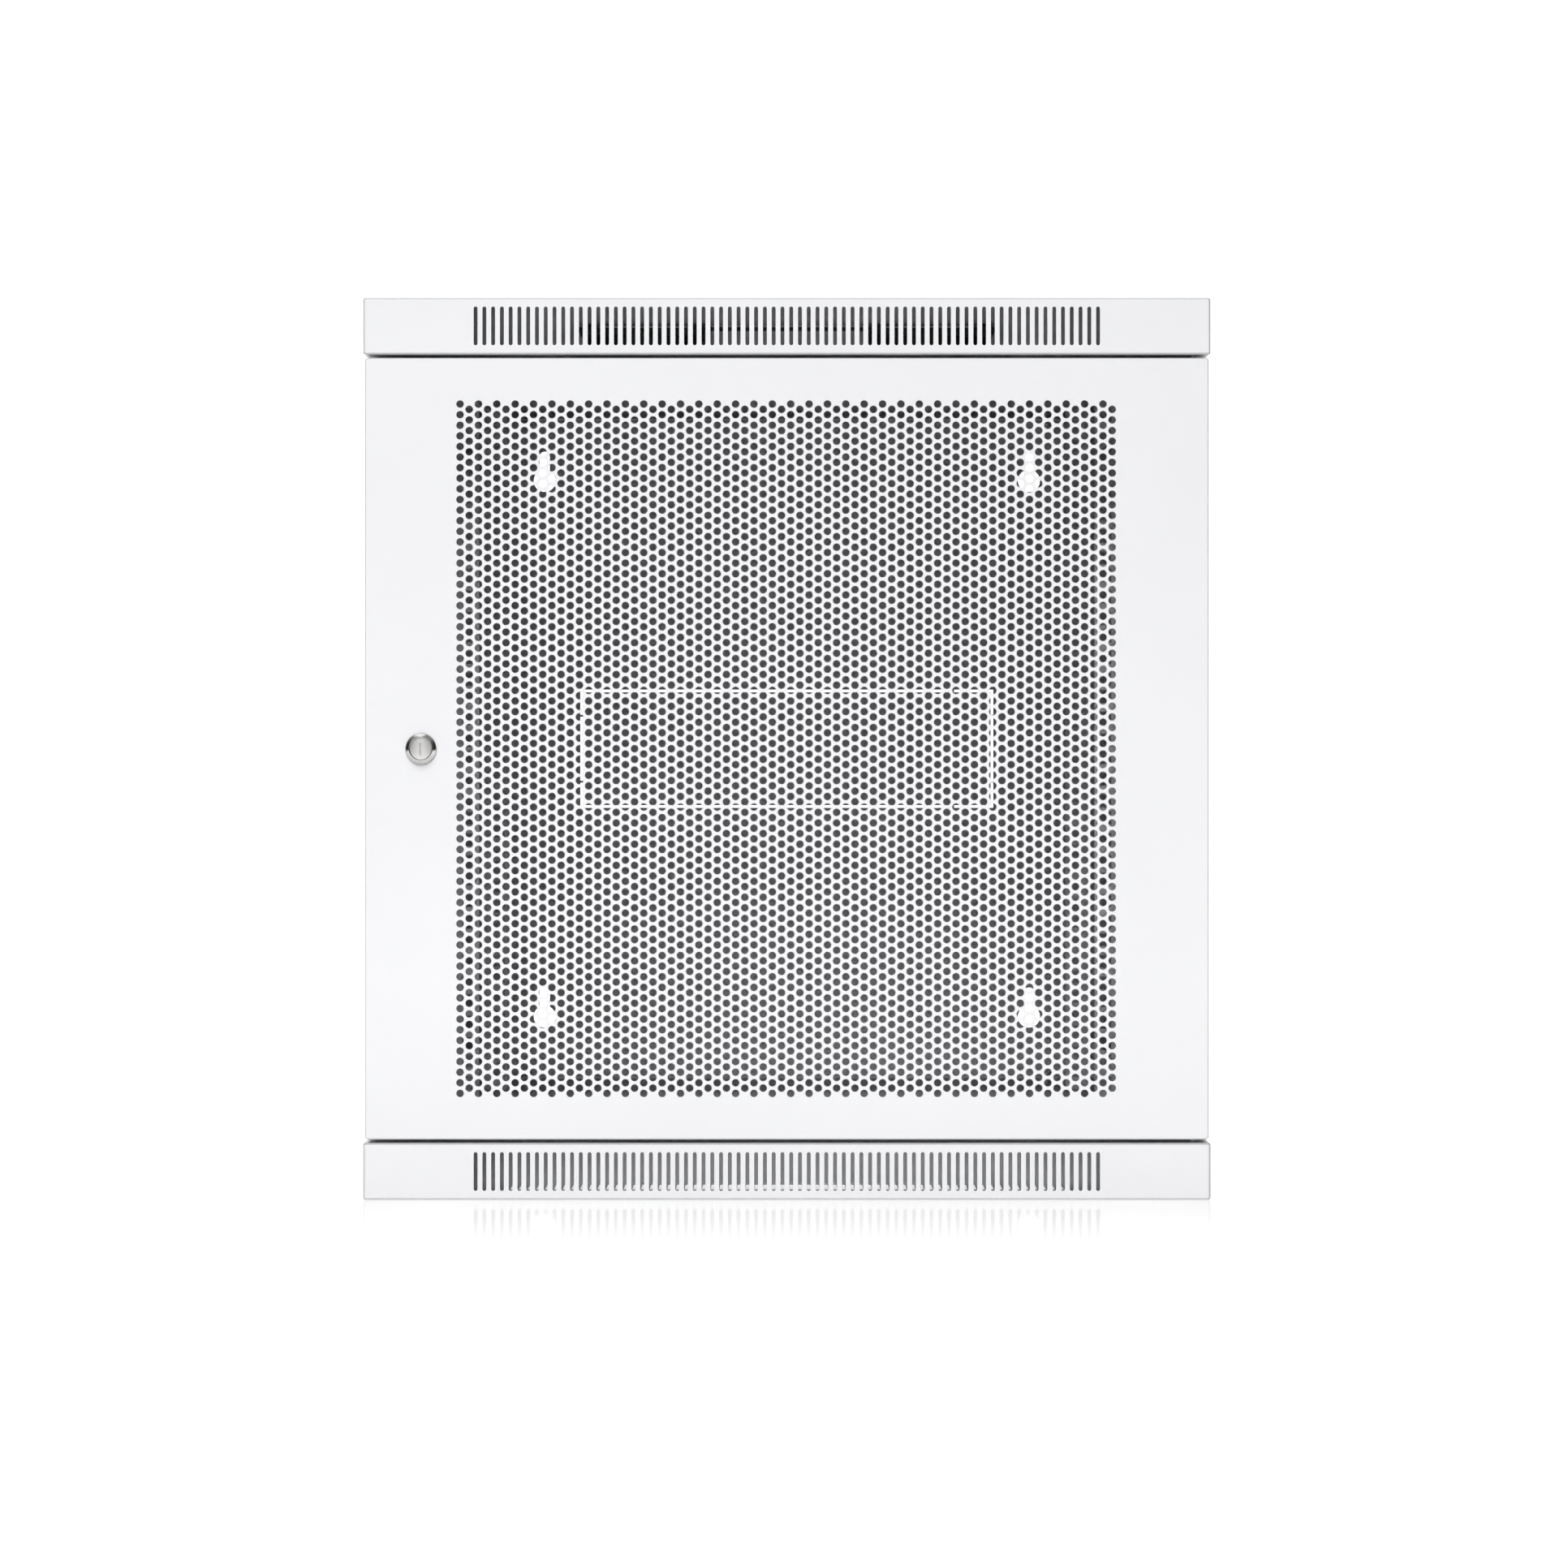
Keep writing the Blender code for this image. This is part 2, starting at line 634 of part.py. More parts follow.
def rail_bolt(name, place, side):
    head_radius, head_height, reach = 0.0055, 0.0035, 0.0060
    profile = ((0, head_height), (head_radius, head_height), (head_radius, 0),
               (RAIL_BOLT_RADIUS, 0), (RAIL_BOLT_RADIUS, -reach), (0, -reach))
    return turned(name, profile, place, (side, 0, 0), ZINC, sides=SMALL_SIDES)


# ---------------------------------------------------------------- door


def door():
    walls = ("-y", "-x", "+x", "-z", "+z")
    low = (-SKIN_X, FRONT_Y, DOOR_BOTTOM)
    high = (SKIN_X, FRONT_Y + DOOR_DEPTH, DOOR_TOP)
    leaf = folded_sheet("door_leaf", low, high, walls, SHEET, PAINT)
    lock_place = [(LOCK_X, FRONT_Y, MIDDLE_Z)]
    lock_hole_radius = LOCK_BARREL_RADIUS + FIT_GAP
    cut(leaf, drums("lock_hole", lock_place, lock_hole_radius, 2 * CUT_MARGIN, (0, 1, 0),
                    ROUND_SIDES))
    pins = [(HINGE_X, HINGE_Y, DOOR_BOTTOM), (HINGE_X, HINGE_Y, DOOR_TOP)]
    cut(leaf, drums("door_pin_holes", pins, PIN_HOLE_RADIUS, 2 * CUT_MARGIN, (0, 0, 1)))

    pieces = [leaf]
    pieces.append(door_stiffener("door_lock_stiffener", LOCK_STIFFENER_X))
    pieces.append(door_stiffener("door_hinge_stiffener", HINGE_STIFFENER_X))
    pieces += [bottom_hinge_pin(), hinge_pin_bracket(), hinge_spring(), *door_lock_case()]
    ride_on_axis("door_hinge_axis", (HINGE_X, HINGE_Y, MIDDLE_Z), *pieces)
    ride_on_axis("top_hinge_pin_slide", (HINGE_X, HINGE_Y, DOOR_TOP), top_hinge_pin())
    ride_on_axis("door_lock_axis", (LOCK_X, FRONT_Y, MIDDLE_Z), *door_lock_core())


def door_stiffener(name, sides_x):
    """An upright channel behind the door's face, beside the perforated field."""
    near = DOOR_INNER_Y + FIT_GAP
    low = (sides_x[0], near, DOOR_BOTTOM + STIFFENER_END_GAP)
    high = (sides_x[1], near + STIFFENER_DEPTH, DOOR_TOP - STIFFENER_END_GAP)
    return folded_sheet(name, low, high, ("-y", "-x", "+x"), STIFFENER_SHEET, PAINT)


def bottom_hinge_pin():
    seat = DOOR_BOTTOM + SHEET + FIT_GAP
    collar_radius, reach = 0.005, 0.013
    profile = ((0, PIN_COLLAR_HEIGHT), (collar_radius, PIN_COLLAR_HEIGHT), (collar_radius, 0),
               (PIN_RADIUS, 0), (PIN_RADIUS, -reach), (0, -reach))
    return turned("bottom_hinge_pin", profile, (HINGE_X, HINGE_Y, seat), (0, 0, 1), ZINC,
                  sides=SMALL_SIDES)


def top_hinge_pin():
    """A sprung pin with a stop collar under the door's top edge and a knob to pull it down."""
    collar_top = DOOR_TOP - SHEET - FIT_GAP
    collar_radius, knob_radius = 0.0043, 0.0045
    profile = ((0, 0.0106), (PIN_RADIUS, 0.0106), (PIN_RADIUS, 0), (collar_radius, 0),
               (collar_radius, -PIN_COLLAR_HEIGHT), (PIN_RADIUS, -PIN_COLLAR_HEIGHT),
               (PIN_RADIUS, -0.043),
               (knob_radius, -0.043), (knob_radius, -0.049), (0, -0.049))
    place = (HINGE_X, HINGE_Y, collar_top)
    return turned("top_hinge_pin", profile, place, (0, 0, 1), ZINC, sides=SMALL_SIDES)


def hinge_pin_bracket():
    """Holds the sprung pin and takes the lower end of its spring."""
    near = DOOR_INNER_Y + FIT_GAP
    low = (HINGE_X - 0.0105, near, PIN_BRACKET_TOP - 0.0135)
    high = (HINGE_X + 0.0085, near + 0.016, PIN_BRACKET_TOP)
    made = folded_sheet("hinge_pin_bracket", low, high, ("-y", "+z"), SHEET, ZINC)
    place = [(HINGE_X, HINGE_Y, PIN_BRACKET_TOP)]
    cut(made, drums("bracket_hole", place, PIN_HOLE_RADIUS, 2 * CUT_MARGIN, (0, 0, 1)))
    return made


def hinge_spring():
    """A helix round the pin, between the bracket and the pin's collar."""
    wire_radius, coil_radius = 0.0004, 0.0038
    turns, points_per_turn = 6, 10
    bottom = PIN_BRACKET_TOP + FIT_GAP + wire_radius
    top = DOOR_TOP - SHEET - FIT_GAP - PIN_COLLAR_HEIGHT - FIT_GAP - wire_radius
    curve = bpy.data.curves.new("hinge_spring", "CURVE")
    curve.dimensions = "3D"
    curve.bevel_depth = wire_radius
    curve.bevel_resolution = 1
    curve.use_fill_caps = True
    spline = curve.splines.new("POLY")
    count = turns * points_per_turn
    spline.points.add(count)
    for index, point in enumerate(spline.points):
        angle = math.tau * index / points_per_turn
        height = bottom + (top - bottom) * index / count
        x = HINGE_X + coil_radius * math.cos(angle)
        y = HINGE_Y + coil_radius * math.sin(angle)
        point.co = (x, y, height, 1)
    return new_object("hinge_spring", curve, PARTS, ZINC)


def door_lock_case():
    """The lock's barrel, with its bezel in front of the door, and the nut behind."""
    bezel_back = FRONT_Y - FIT_GAP
    bore = LOCK_PLUG_RADIUS + FIT_GAP
    profile = ((LOCK_BEZEL_RADIUS - 0.001, 0.0027), (LOCK_BEZEL_RADIUS, 0.0017),
               (LOCK_BEZEL_RADIUS, 0), (LOCK_BARREL_RADIUS, 0), (LOCK_BARREL_RADIUS, -0.025),
               (bore, -0.025), (bore, 0.0027))
    place = (LOCK_X, bezel_back, MIDDLE_Z)
    barrel = turned("door_lock_barrel", profile, place, (0, -1, 0), CHROME, closed=True)

    nut_y = DOOR_INNER_Y + FIT_GAP + LOCK_NUT_THICKNESS / 2
    shape = bmesh.new()
    turn = Matrix.Rotation(math.radians(90), 4, "X") @ Matrix.Rotation(math.radians(30), 4, "Z")
    corner_radius = LOCK_NUT_ACROSS_FLATS / math.sqrt(3)
    bmesh.ops.create_cone(
        shape, cap_ends=True, segments=6, radius1=corner_radius, radius2=corner_radius,
        depth=LOCK_NUT_THICKNESS, matrix=Matrix.Translation((LOCK_X, nut_y, MIDDLE_Z)) @ turn,
    )
    clamp = new_object("door_lock_nut", mesh_from("door_lock_nut", shape), PARTS, ZINC)
    bore_place = [(LOCK_X, nut_y, MIDDLE_Z)]
    cut(clamp, drums("lock_nut_bore", bore_place, LOCK_BARREL_RADIUS + FIT_GAP,
                     2 * LOCK_NUT_THICKNESS, (0, 1, 0), ROUND_SIDES))
    return barrel, clamp


def door_lock_core():
    """The plug that the key turns, with the cam and its screw. The cam stands up, unlocked."""
    face_y = FRONT_Y - 0.0024
    length = 0.0316
    place = (LOCK_X, face_y, MIDDLE_Z)
    screw_bore, bore_depth = 0.0023, 0.008
    profile = ((0, 0), (LOCK_PLUG_RADIUS, 0), (LOCK_PLUG_RADIUS, -length), (screw_bore, -length),
               (screw_bore, bore_depth - length), (0, bore_depth - length))
    plug = turned("door_lock_plug", profile, place, (0, -1, 0), CHROME)
    cut(plug, key_slot(plug.name, place, (0, 1, 0), DOOR_KEY_SLOT))

    cam_front = face_y + length + FIT_GAP
    thickness = 0.002
    cam_place = (LOCK_X, cam_front + thickness / 2, MIDDLE_Z)
    facing = Matrix.Rotation(math.radians(90), 4, "X")
    cam = lock_cam("door_lock_cam", cam_place, facing, thickness, screw_bore)

    head_radius, head_height, reach = 0.005, 0.003, 0.0085
    shank = screw_bore - FIT_GAP
    screw_profile = ((0, head_height), (head_radius, head_height), (head_radius, 0), (shank, 0),
                     (shank, -reach), (0, -reach))
    screw_place = (LOCK_X, cam_front + thickness + FIT_GAP, MIDDLE_Z)
    screw = turned("door_cam_screw", screw_profile, screw_place, (0, 1, 0), ZINC,
                   sides=SMALL_SIDES)
    return plug, cam, screw


def key_slot(plug_name, place, inward, size):
    """A cutter for an upright key slot in a plug's face, which looks against inward."""
    width, height, depth = size
    inward = Vector(inward)
    across = inward.cross(Vector((0, 0, 1))) * width / 2
    up = Vector((0, 0, height / 2))
    start = Vector(place) - inward * CUT_MARGIN - across - up
    end = Vector(place) + inward * depth + across + up
    return boxes(plug_name + "_key_slot", [(start, end)], CUTTERS)


def lock_cam(name, place, facing, thickness, hole_radius):
    """A flat bar, round at both ends, turned about a hole near its lower end."""
    tip = CAM_LENGTH - CAM_HALF_WIDTH
    points = arc((0, 0), CAM_HALF_WIDTH, 180, 360, SMALL_SIDES // 2)
    points += arc((0, tip), CAM_HALF_WIDTH, 0, 180, SMALL_SIDES // 2)
    made = outline_plate(name, points, thickness, Matrix.Translation(place) @ facing, PARTS, ZINC)
    through = facing @ Vector((0, 0, 1))
    cut(made, drums(name + "_hole", [place], hole_radius, 4 * thickness, through))
    return made


# ---------------------------------------------------------------- side panels


def side_panel(side_name, side):
    bottom = COVER_HEIGHT + SIDE_PANEL_GAP_Z
    low = (side * (SKIN_X - SIDE_PANEL_FLANGE), SIDE_PANEL_FRONT_Y, bottom)
    high = (side * SKIN_X, SIDE_PANEL_BACK_Y, HEIGHT - bottom)
    walls = ("+x" if side > 0 else "-x", "-y", "+y", "-z", "+z")
    panel = folded_sheet(f"{side_name}_side_panel", low, high, walls, SHEET, PAINT)
    hole_place = [(side * SKIN_X, SIDE_LOCK_Y, MIDDLE_Z)]
    cut(panel, drums(f"{side_name}_side_lock_hole", hole_place, SIDE_BARREL_RADIUS + FIT_GAP,
                     2 * CUT_MARGIN, (1, 0, 0)))

    bezel_height = SKIN_INSET - FIT_GAP
    bore = SIDE_PLUG_RADIUS + FIT_GAP
    barrel_end = -0.0125
    profile = ((SIDE_BEZEL_RADIUS - 0.0006, bezel_height), (SIDE_BEZEL_RADIUS, bezel_height / 2),
               (SIDE_BEZEL_RADIUS, 0), (SIDE_BARREL_RADIUS, 0), (SIDE_BARREL_RADIUS, barrel_end),
               (bore, barrel_end), (bore, bezel_height))
    place = (side * (SKIN_X + FIT_GAP), SIDE_LOCK_Y, MIDDLE_Z)
    barrel = turned(f"{side_name}_side_lock_barrel", profile, place, (side, 0, 0), CHROME,
                    closed=True, sides=16)
    ride_on_axis(f"{side_name}_side_panel_pull", hole_place[0], panel, barrel)
    ride_on_axis(f"{side_name}_side_lock_axis", hole_place[0], *side_lock_core(side_name, side))


def side_lock_core(side_name, side):
    """Plug and cam. The cam stands up, unlocked, and turns forward behind the front post."""
    face_x = HALF_WIDTH - FIT_GAP
    shoulder_x = POST_OUTER_X - FRAME_SHEET
    shoulder = shoulder_x - face_x
    tail_radius, tail_end = 0.0025, shoulder - 0.0033
    profile = ((0, 0), (SIDE_PLUG_RADIUS, 0), (SIDE_PLUG_RADIUS, shoulder),
               (tail_radius, shoulder), (tail_radius, tail_end), (0, tail_end))
    place = (side * face_x, SIDE_LOCK_Y, MIDDLE_Z)
    plug = turned(f"{side_name}_side_lock_plug", profile, place, (side, 0, 0), CHROME, sides=16)
    cut(plug, key_slot(plug.name, place, (-side, 0, 0), SIDE_KEY_SLOT))

    thickness = 0.0018
    cam_x = side * (shoulder_x - FIT_GAP - thickness / 2)
    facing = Matrix.Rotation(math.radians(90), 4, "Z") @ Matrix.Rotation(math.radians(90), 4, "X")
    cam = lock_cam(f"{side_name}_side_lock_cam", (cam_x, SIDE_LOCK_Y, MIDDLE_Z), facing,
                   thickness, tail_radius + FIT_GAP)
    return plug, cam


# ---------------------------------------------------------------- roof fans


def fan_plate():
    """Carries both fans. Four standoffs keep it a few millimetres under the roof.

    Between the fans only a narrow bar is left of it, along its front edge.
    """
    bottom = FAN_PLATE_TOP - FAN_PLATE_SHEET
    half = FAN_PLATE_WIDTH / 2
    plate = boxes("fan_plate", [((-half, FAN_Y - FAN_SIDE / 2, bottom),
                                 (half, FAN_Y + FAN_SIDE / 2, FAN_PLATE_TOP))], PARTS, BLACK)
    middle = (bottom + FAN_PLATE_TOP) / 2
    holes = [(side * FAN_X, FAN_Y, middle) for side in SIDES.values()]
    cut(plate, drums("fan_plate_holes", holes, FAN_BORE_RADIUS, 2 * CUT_MARGIN, (0, 0, 1),
                     ROUND_SIDES))
    window_side = FAN_X - FAN_SIDE / 2 - FAN_PLATE_BORDER
    near = (-window_side, FAN_Y - FAN_SIDE / 2 + FAN_PLATE_BAR, bottom - CUT_MARGIN)
    far = (window_side, FAN_Y + FAN_SIDE / 2 + CUT_MARGIN, FAN_PLATE_TOP + CUT_MARGIN)
    cut(plate, boxes("fan_plate_window", [(near, far)], CUTTERS))
    standoff_top = HEIGHT - SHEET - FIT_GAP
    length = standoff_top - middle
    places = []
    for x in (-FAN_STANDOFF_X, FAN_STANDOFF_X):
        for y in (FAN_Y - FAN_STANDOFF_RISE_Y, FAN_Y + FAN_STANDOFF_RISE_Y):
            places.append((x, y, standoff_top - length / 2))
    join(plate, drums("fan_plate_standoffs", places, FAN_STANDOFF_RADIUS, length, (0, 0, 1)))


def fan(side_name, side):
    top = FAN_PLATE_TOP - FAN_PLATE_SHEET - FIT_GAP
    bottom = top - FAN_DEPTH
    x = side * FAN_X
    half = FAN_SIDE / 2
    name = f"{side_name}_fan"
    corners = ((x - half, FAN_Y - half, bottom), (x + half, FAN_Y + half, top))
    frame = boxes(name + "_frame", [corners], PARTS, BLACK)
    middle = (x, FAN_Y, (bottom + top) / 2)
    cut(frame, drums(name + "_bore", [middle], FAN_BORE_RADIUS, 2 * FAN_DEPTH, (0, 0, 1),
                     ROUND_SIDES))
    spider_height = 0.003
    arm, reach = FAN_ARM_HALF_WIDTH, FAN_BORE_RADIUS + 0.001
    low, high = bottom + 0.0005, bottom + spider_height
    along_x = ((x - reach, FAN_Y - arm, low), (x + reach, FAN_Y + arm, high))
    along_y = ((x - arm, FAN_Y - reach, low), (x + arm, FAN_Y + reach, high))
    arms_x = boxes(name + "_arms_x", [along_x], CUTTERS)
    arms_y = boxes(name + "_arms_y", [along_y], CUTTERS)
    base_middle = [(x, FAN_Y, (low + high) / 2)]
    base = drums(name + "_motor_base", base_middle, FAN_HUB_RADIUS, high - low, (0, 0, 1),
                 ROUND_SIDES)
    join(frame, arms_x, arms_y, base)
    rotor = fan_rotor(name + "_rotor", (x, FAN_Y, high + 0.0007), top - 0.002)
    ride_on_axis(name + "_axis", (x, FAN_Y, middle[2]), rotor)


def fan_rotor(name, place, top):
    """A hub with blades. place is the middle of its underside."""
    height = top - place[2]
    profile = ((0, height), (FAN_HUB_RADIUS - 0.001, height), (FAN_HUB_RADIUS, height - 0.001),
               (FAN_HUB_RADIUS, 0), (0, 0))
    rotor = turned(name, profile, place, (0, 0, 1), BLACK)
    shape = bmesh.new()
    inner = FAN_HUB_RADIUS - 0.0015
    outer = FAN_BORE_RADIUS - 0.0025
    middle = Vector(place) + Vector((0, 0, height / 2))
    for index in range(FAN_BLADES):
        turn = Matrix.Rotation(math.tau * index / FAN_BLADES, 4, "Z")
        pitch = Matrix.Rotation(FAN_BLADE_PITCH, 4, "X")
        corner = (outer, FAN_BLADE_HALF_CHORD, FAN_BLADE_HALF_THICKNESS)
        blade = add_box(shape, (inner, -corner[1], -corner[2]), corner)
        bmesh.ops.transform(shape, matrix=Matrix.Translation(middle) @ turn @ pitch, verts=blade)
    blades = new_object(name + "_blades", mesh_from(name + "_blades", shape), CUTTERS)
    join(rotor, blades)
    return rotor


# ---------------------------------------------------------------- the cabinet

clear_scene()
PARTS = new_collection("rack_cabinet")
CUTTERS = new_collection("rack_cabinet_cutters")
PAINT = new_material("light_grey_powder_coat", (0.90, 0.90, 0.92), 0.55, 0.0)
ZINC = new_material("zinc_plated_steel", (0.62, 0.63, 0.65), 0.38, 1.0)
CHROME = new_material("bright_nickel", (0.80, 0.80, 0.79), 0.16, 1.0)
BLACK = new_material("black_plastic", (0.012, 0.012, 0.013), 0.50, 0.0)

cover("top_cover", above=True)
cover("bottom_cover", above=False)
back_panel()
back_panel_screws()
post_nuts()
for side_label, side_sign in SIDES.items():
    front_post(side_label, side_sign)
    rear_post(side_label, side_sign)
    for brace_level in BRACE_CENTRES_Z:
        brace(brace_level, side_label, side_sign)
    rail("front", side_label, side_sign, FRONT_RAIL_Y)
    rail("rear", side_label, side_sign, REAR_RAIL_Y)
    side_panel(side_label, side_sign)
    fan(side_label, side_sign)
fan_plate()
door()
bpy.context.view_layer.update()
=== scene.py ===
"""The looks of the network rack cabinet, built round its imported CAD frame.

Sheet-metal pieces, locks and fans are rebuilt with rounded folds, round-ended slots, the door's
real perforation and swept blades. Every other solid keeps its CAD shape, with its edges eased.
Everything stands in the CAD's own frame, in metres.
"""

import json
import math

import bmesh
import bpy
from mathutils import Matrix, Vector
from mathutils.geometry import delaunay_2d_cdt


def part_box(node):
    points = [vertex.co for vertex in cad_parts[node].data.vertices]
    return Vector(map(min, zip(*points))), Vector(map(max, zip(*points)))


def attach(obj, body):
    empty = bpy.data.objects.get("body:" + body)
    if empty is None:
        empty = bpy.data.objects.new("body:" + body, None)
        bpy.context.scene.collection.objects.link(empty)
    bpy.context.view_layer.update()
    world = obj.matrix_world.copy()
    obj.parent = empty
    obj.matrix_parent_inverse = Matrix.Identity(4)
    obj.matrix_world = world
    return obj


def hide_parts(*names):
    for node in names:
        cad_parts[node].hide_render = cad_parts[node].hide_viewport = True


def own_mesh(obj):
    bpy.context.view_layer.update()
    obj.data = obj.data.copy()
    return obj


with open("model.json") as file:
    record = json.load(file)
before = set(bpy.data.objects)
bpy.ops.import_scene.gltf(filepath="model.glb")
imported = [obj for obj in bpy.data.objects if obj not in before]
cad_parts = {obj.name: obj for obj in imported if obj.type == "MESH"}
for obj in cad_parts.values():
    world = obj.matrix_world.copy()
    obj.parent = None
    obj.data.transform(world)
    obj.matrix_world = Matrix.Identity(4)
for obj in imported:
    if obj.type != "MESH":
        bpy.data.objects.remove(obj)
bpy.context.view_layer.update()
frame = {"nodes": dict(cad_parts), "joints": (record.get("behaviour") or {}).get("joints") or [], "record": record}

ORIGIN = Vector((0, 0, 0))
X_AXIS = Vector((1, 0, 0))
Y_AXIS = Vector((0, 1, 0))
Z_AXIS = Vector((0, 0, 1))
STOOD_UP = Matrix.Rotation(math.radians(90), 4, "X")

# ---------------------------------------------------------------- sizes

# sheet metal and its folds
SHEET = 0.0012
FOLD_RADIUS = 0.0012
FOLD_STEPS = 5
CORNER_RADIUS = 0.0022
CORNER_STEPS = 4
COVER_FOLD_RADIUS = 0.0015
COVER_LIP = 0.012
COVER_FRONT_LIP = 0.025
WELD = 0.000001  # corners closer than this are one

# the door's perforation
HOLE_RADIUS = 0.00275
HOLE_SIDES = 12
HOLE_ROWS = 66
HOLE_COLUMNS = 72
ROW_PITCH = 0.0075
COLUMN_PITCH = ROW_PITCH * math.sin(math.radians(60))
HOLE_FIELD_X = -0.0005

# the covers' slots: along their fronts, through the floor and through the roof
VENT_COUNT = 72
VENT_PITCH = 0.0062
VENT_WIDTH = 0.0028
VENT_LENGTH = 0.0275

FLOOR_VENT_COUNT = 64
FLOOR_VENT_PITCH = 0.0063
FLOOR_VENT_WIDTH = 0.003
FLOOR_VENT_START_Y = -0.181
FLOOR_VENT_LENGTH = 0.033

ROOF_VENT_RADIUS = 0.040
ROOF_VENT_PITCH = 0.010
ROOF_VENT_WIDTH = 0.005
ROOF_VENT_COUNT = 5

# round holes that other pieces pass through
HINGE_HOLE_RADIUS = 0.0033
DOOR_LOCK_HOLE_RADIUS = 0.0098
SIDE_LOCK_HOLE_RADIUS = 0.0078

STUD_RADIUS = 0.0025
STUD_LENGTH = 0.0092
STUD_REACH = 0.009  # from the sheet to the stud's tip

# how CAD solids are eased: edges sharper than the angle, in degrees, are rounded
EASED_EDGE = 0.0003
SHARP_ANGLE = 35

# fans, with pairs from hub to tip; angles are in degrees
FAN_BLADES = 7
BLADE_STATIONS = 8
BLADE_PITCH = (46, 28)
BLADE_CHORD = (0.0165, 0.025)
BLADE_CAMBER = (0.0022, 0.00132)
BLADE_SWEEP = 16
BLADE_THICKNESS = 0.0011
FAN_BORE_RADIUS = 0.0435
FAN_WALL = 0.0018
FAN_CORNER = 0.005
FAN_FLANGE = 0.0035
FAN_SCREW_INSET = 0.0048
FAN_SCREW_RADIUS = 0.0022
HUB_RADIUS = 0.019
TIP_CLEARANCE = 0.0012
SPIDER_ARM = (0.0036, 0.0026)
SPIDER_INNER = 0.018
SPIDER_RISE = 0.0017

# the back panel's keyholes and its knock-out plate
KEYHOLE_X = 0.2054
KEYHOLE_RISE_FROM_MIDDLE = 0.22725
KEYHOLE_RADIUS = 0.00925
KEYHOLE_SLOT_RADIUS = 0.00425
KEYHOLE_RISE = 0.0204
KNOCKOUT_HALF = (0.175, 0.050)
KNOCKOUT_SLIT = 0.002
BRIDGE_PLACES = (0.141, 0.028)
BRIDGE_HALF_WIDTH = 0.001

# painted shade on the coat's folds: its darker tone, and the share of a normal at which it sets in and fades out
LEVEL_FOLD_SHADE = (0.42, 0.42, 0.43)
UPRIGHT_FOLD_SHADE = (0.70, 0.70, 0.71)
FOLD_SHADE_SETS_IN = (0.10, 0.40)
FOLD_SHADE_FADES_OUT = (0.985, 0.9995)

# rise above the plug's middle, width, height and depth of the key slot and of its wider top
KEYWAY = ((0.0, 0.0014, 0.0092, 0.0016), (0.0031, 0.0022, 0.0030, 0.0020))

PLUG_FIT = 0.0002  # a plug is this much fuller than its CAD solid, to close in on its bore

# the surround's brightness by direction
WORLD_BELOW = 0.02
WORLD_FRONT = 0.06
WORLD_TOP = 0.40
WORLD_SIDE_SHARE = 0.45

# the lamps, in watts
KEY_POWER = 800.0
STRIP_POWER = 31.0
TOP_POWER = 18.0
BASE_POWER = 0.34
BASE_LIGHT_AHEAD = 0.35

# the floor's gloss and glow, with distances ahead of the cabinet's front; the glow is painted light: ahead of the
# front it lights the cabinet's foot, under the cabinet it lifts the shade where it meets the floor, and behind it
# makes the backdrop read white
FLOOR_DROP = 0.0003
FLOOR_POLISH = 0.015
POLISH_REACH = (0.45, 0.25)
FRONT_GLOW = 0.45
FRONT_GLOW_REACH = 0.42
UNDER_GLOW = 0.55
BACKDROP_GLOW = 0.70

# ---------------------------------------------------------------- places from the frame

TOP_LOW, TOP_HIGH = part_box("top_cover")
BOTTOM_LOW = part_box("bottom_cover")[0]
DOOR_LOW, DOOR_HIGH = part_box("door_leaf")
BACK_LOW, BACK_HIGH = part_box("back_panel")
MIDDLE_Z = (BOTTOM_LOW.z + TOP_HIGH.z) / 2
FRONT_Y = DOOR_LOW.y
JOINTS = {joint["name"]: joint for joint in frame["joints"]}
SIDES = {"left": -1, "right": 1}


def middle_of(node):
    """The middle of a CAD node's box."""
    low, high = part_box(node)
    return (low + high) / 2


LOCK = Vector(JOINTS["door_key_turn"]["pos_m"])
HINGE = Vector(JOINTS["door_swing"]["pos_m"])

# ---------------------------------------------------------------- materials


def smooth_step(tree, value, start, end, low, high):
    """A smooth step from low to high as the value runs from start to end."""
    node = tree.nodes.new("ShaderNodeMapRange")
    node.interpolation_type = "SMOOTHSTEP"
    node.inputs["From Min"].default_value = start
    node.inputs["From Max"].default_value = end
    node.inputs["To Min"].default_value = low
    node.inputs["To Max"].default_value = high
    tree.links.new(value, node.inputs["Value"])
    return node.outputs["Result"]


def total(tree, first, second):
    """The sum of two outputs."""
    node = tree.nodes.new("ShaderNodeMath")
    tree.links.new(first, node.inputs[0])
    tree.links.new(second, node.inputs[1])
    return node.outputs["Value"]


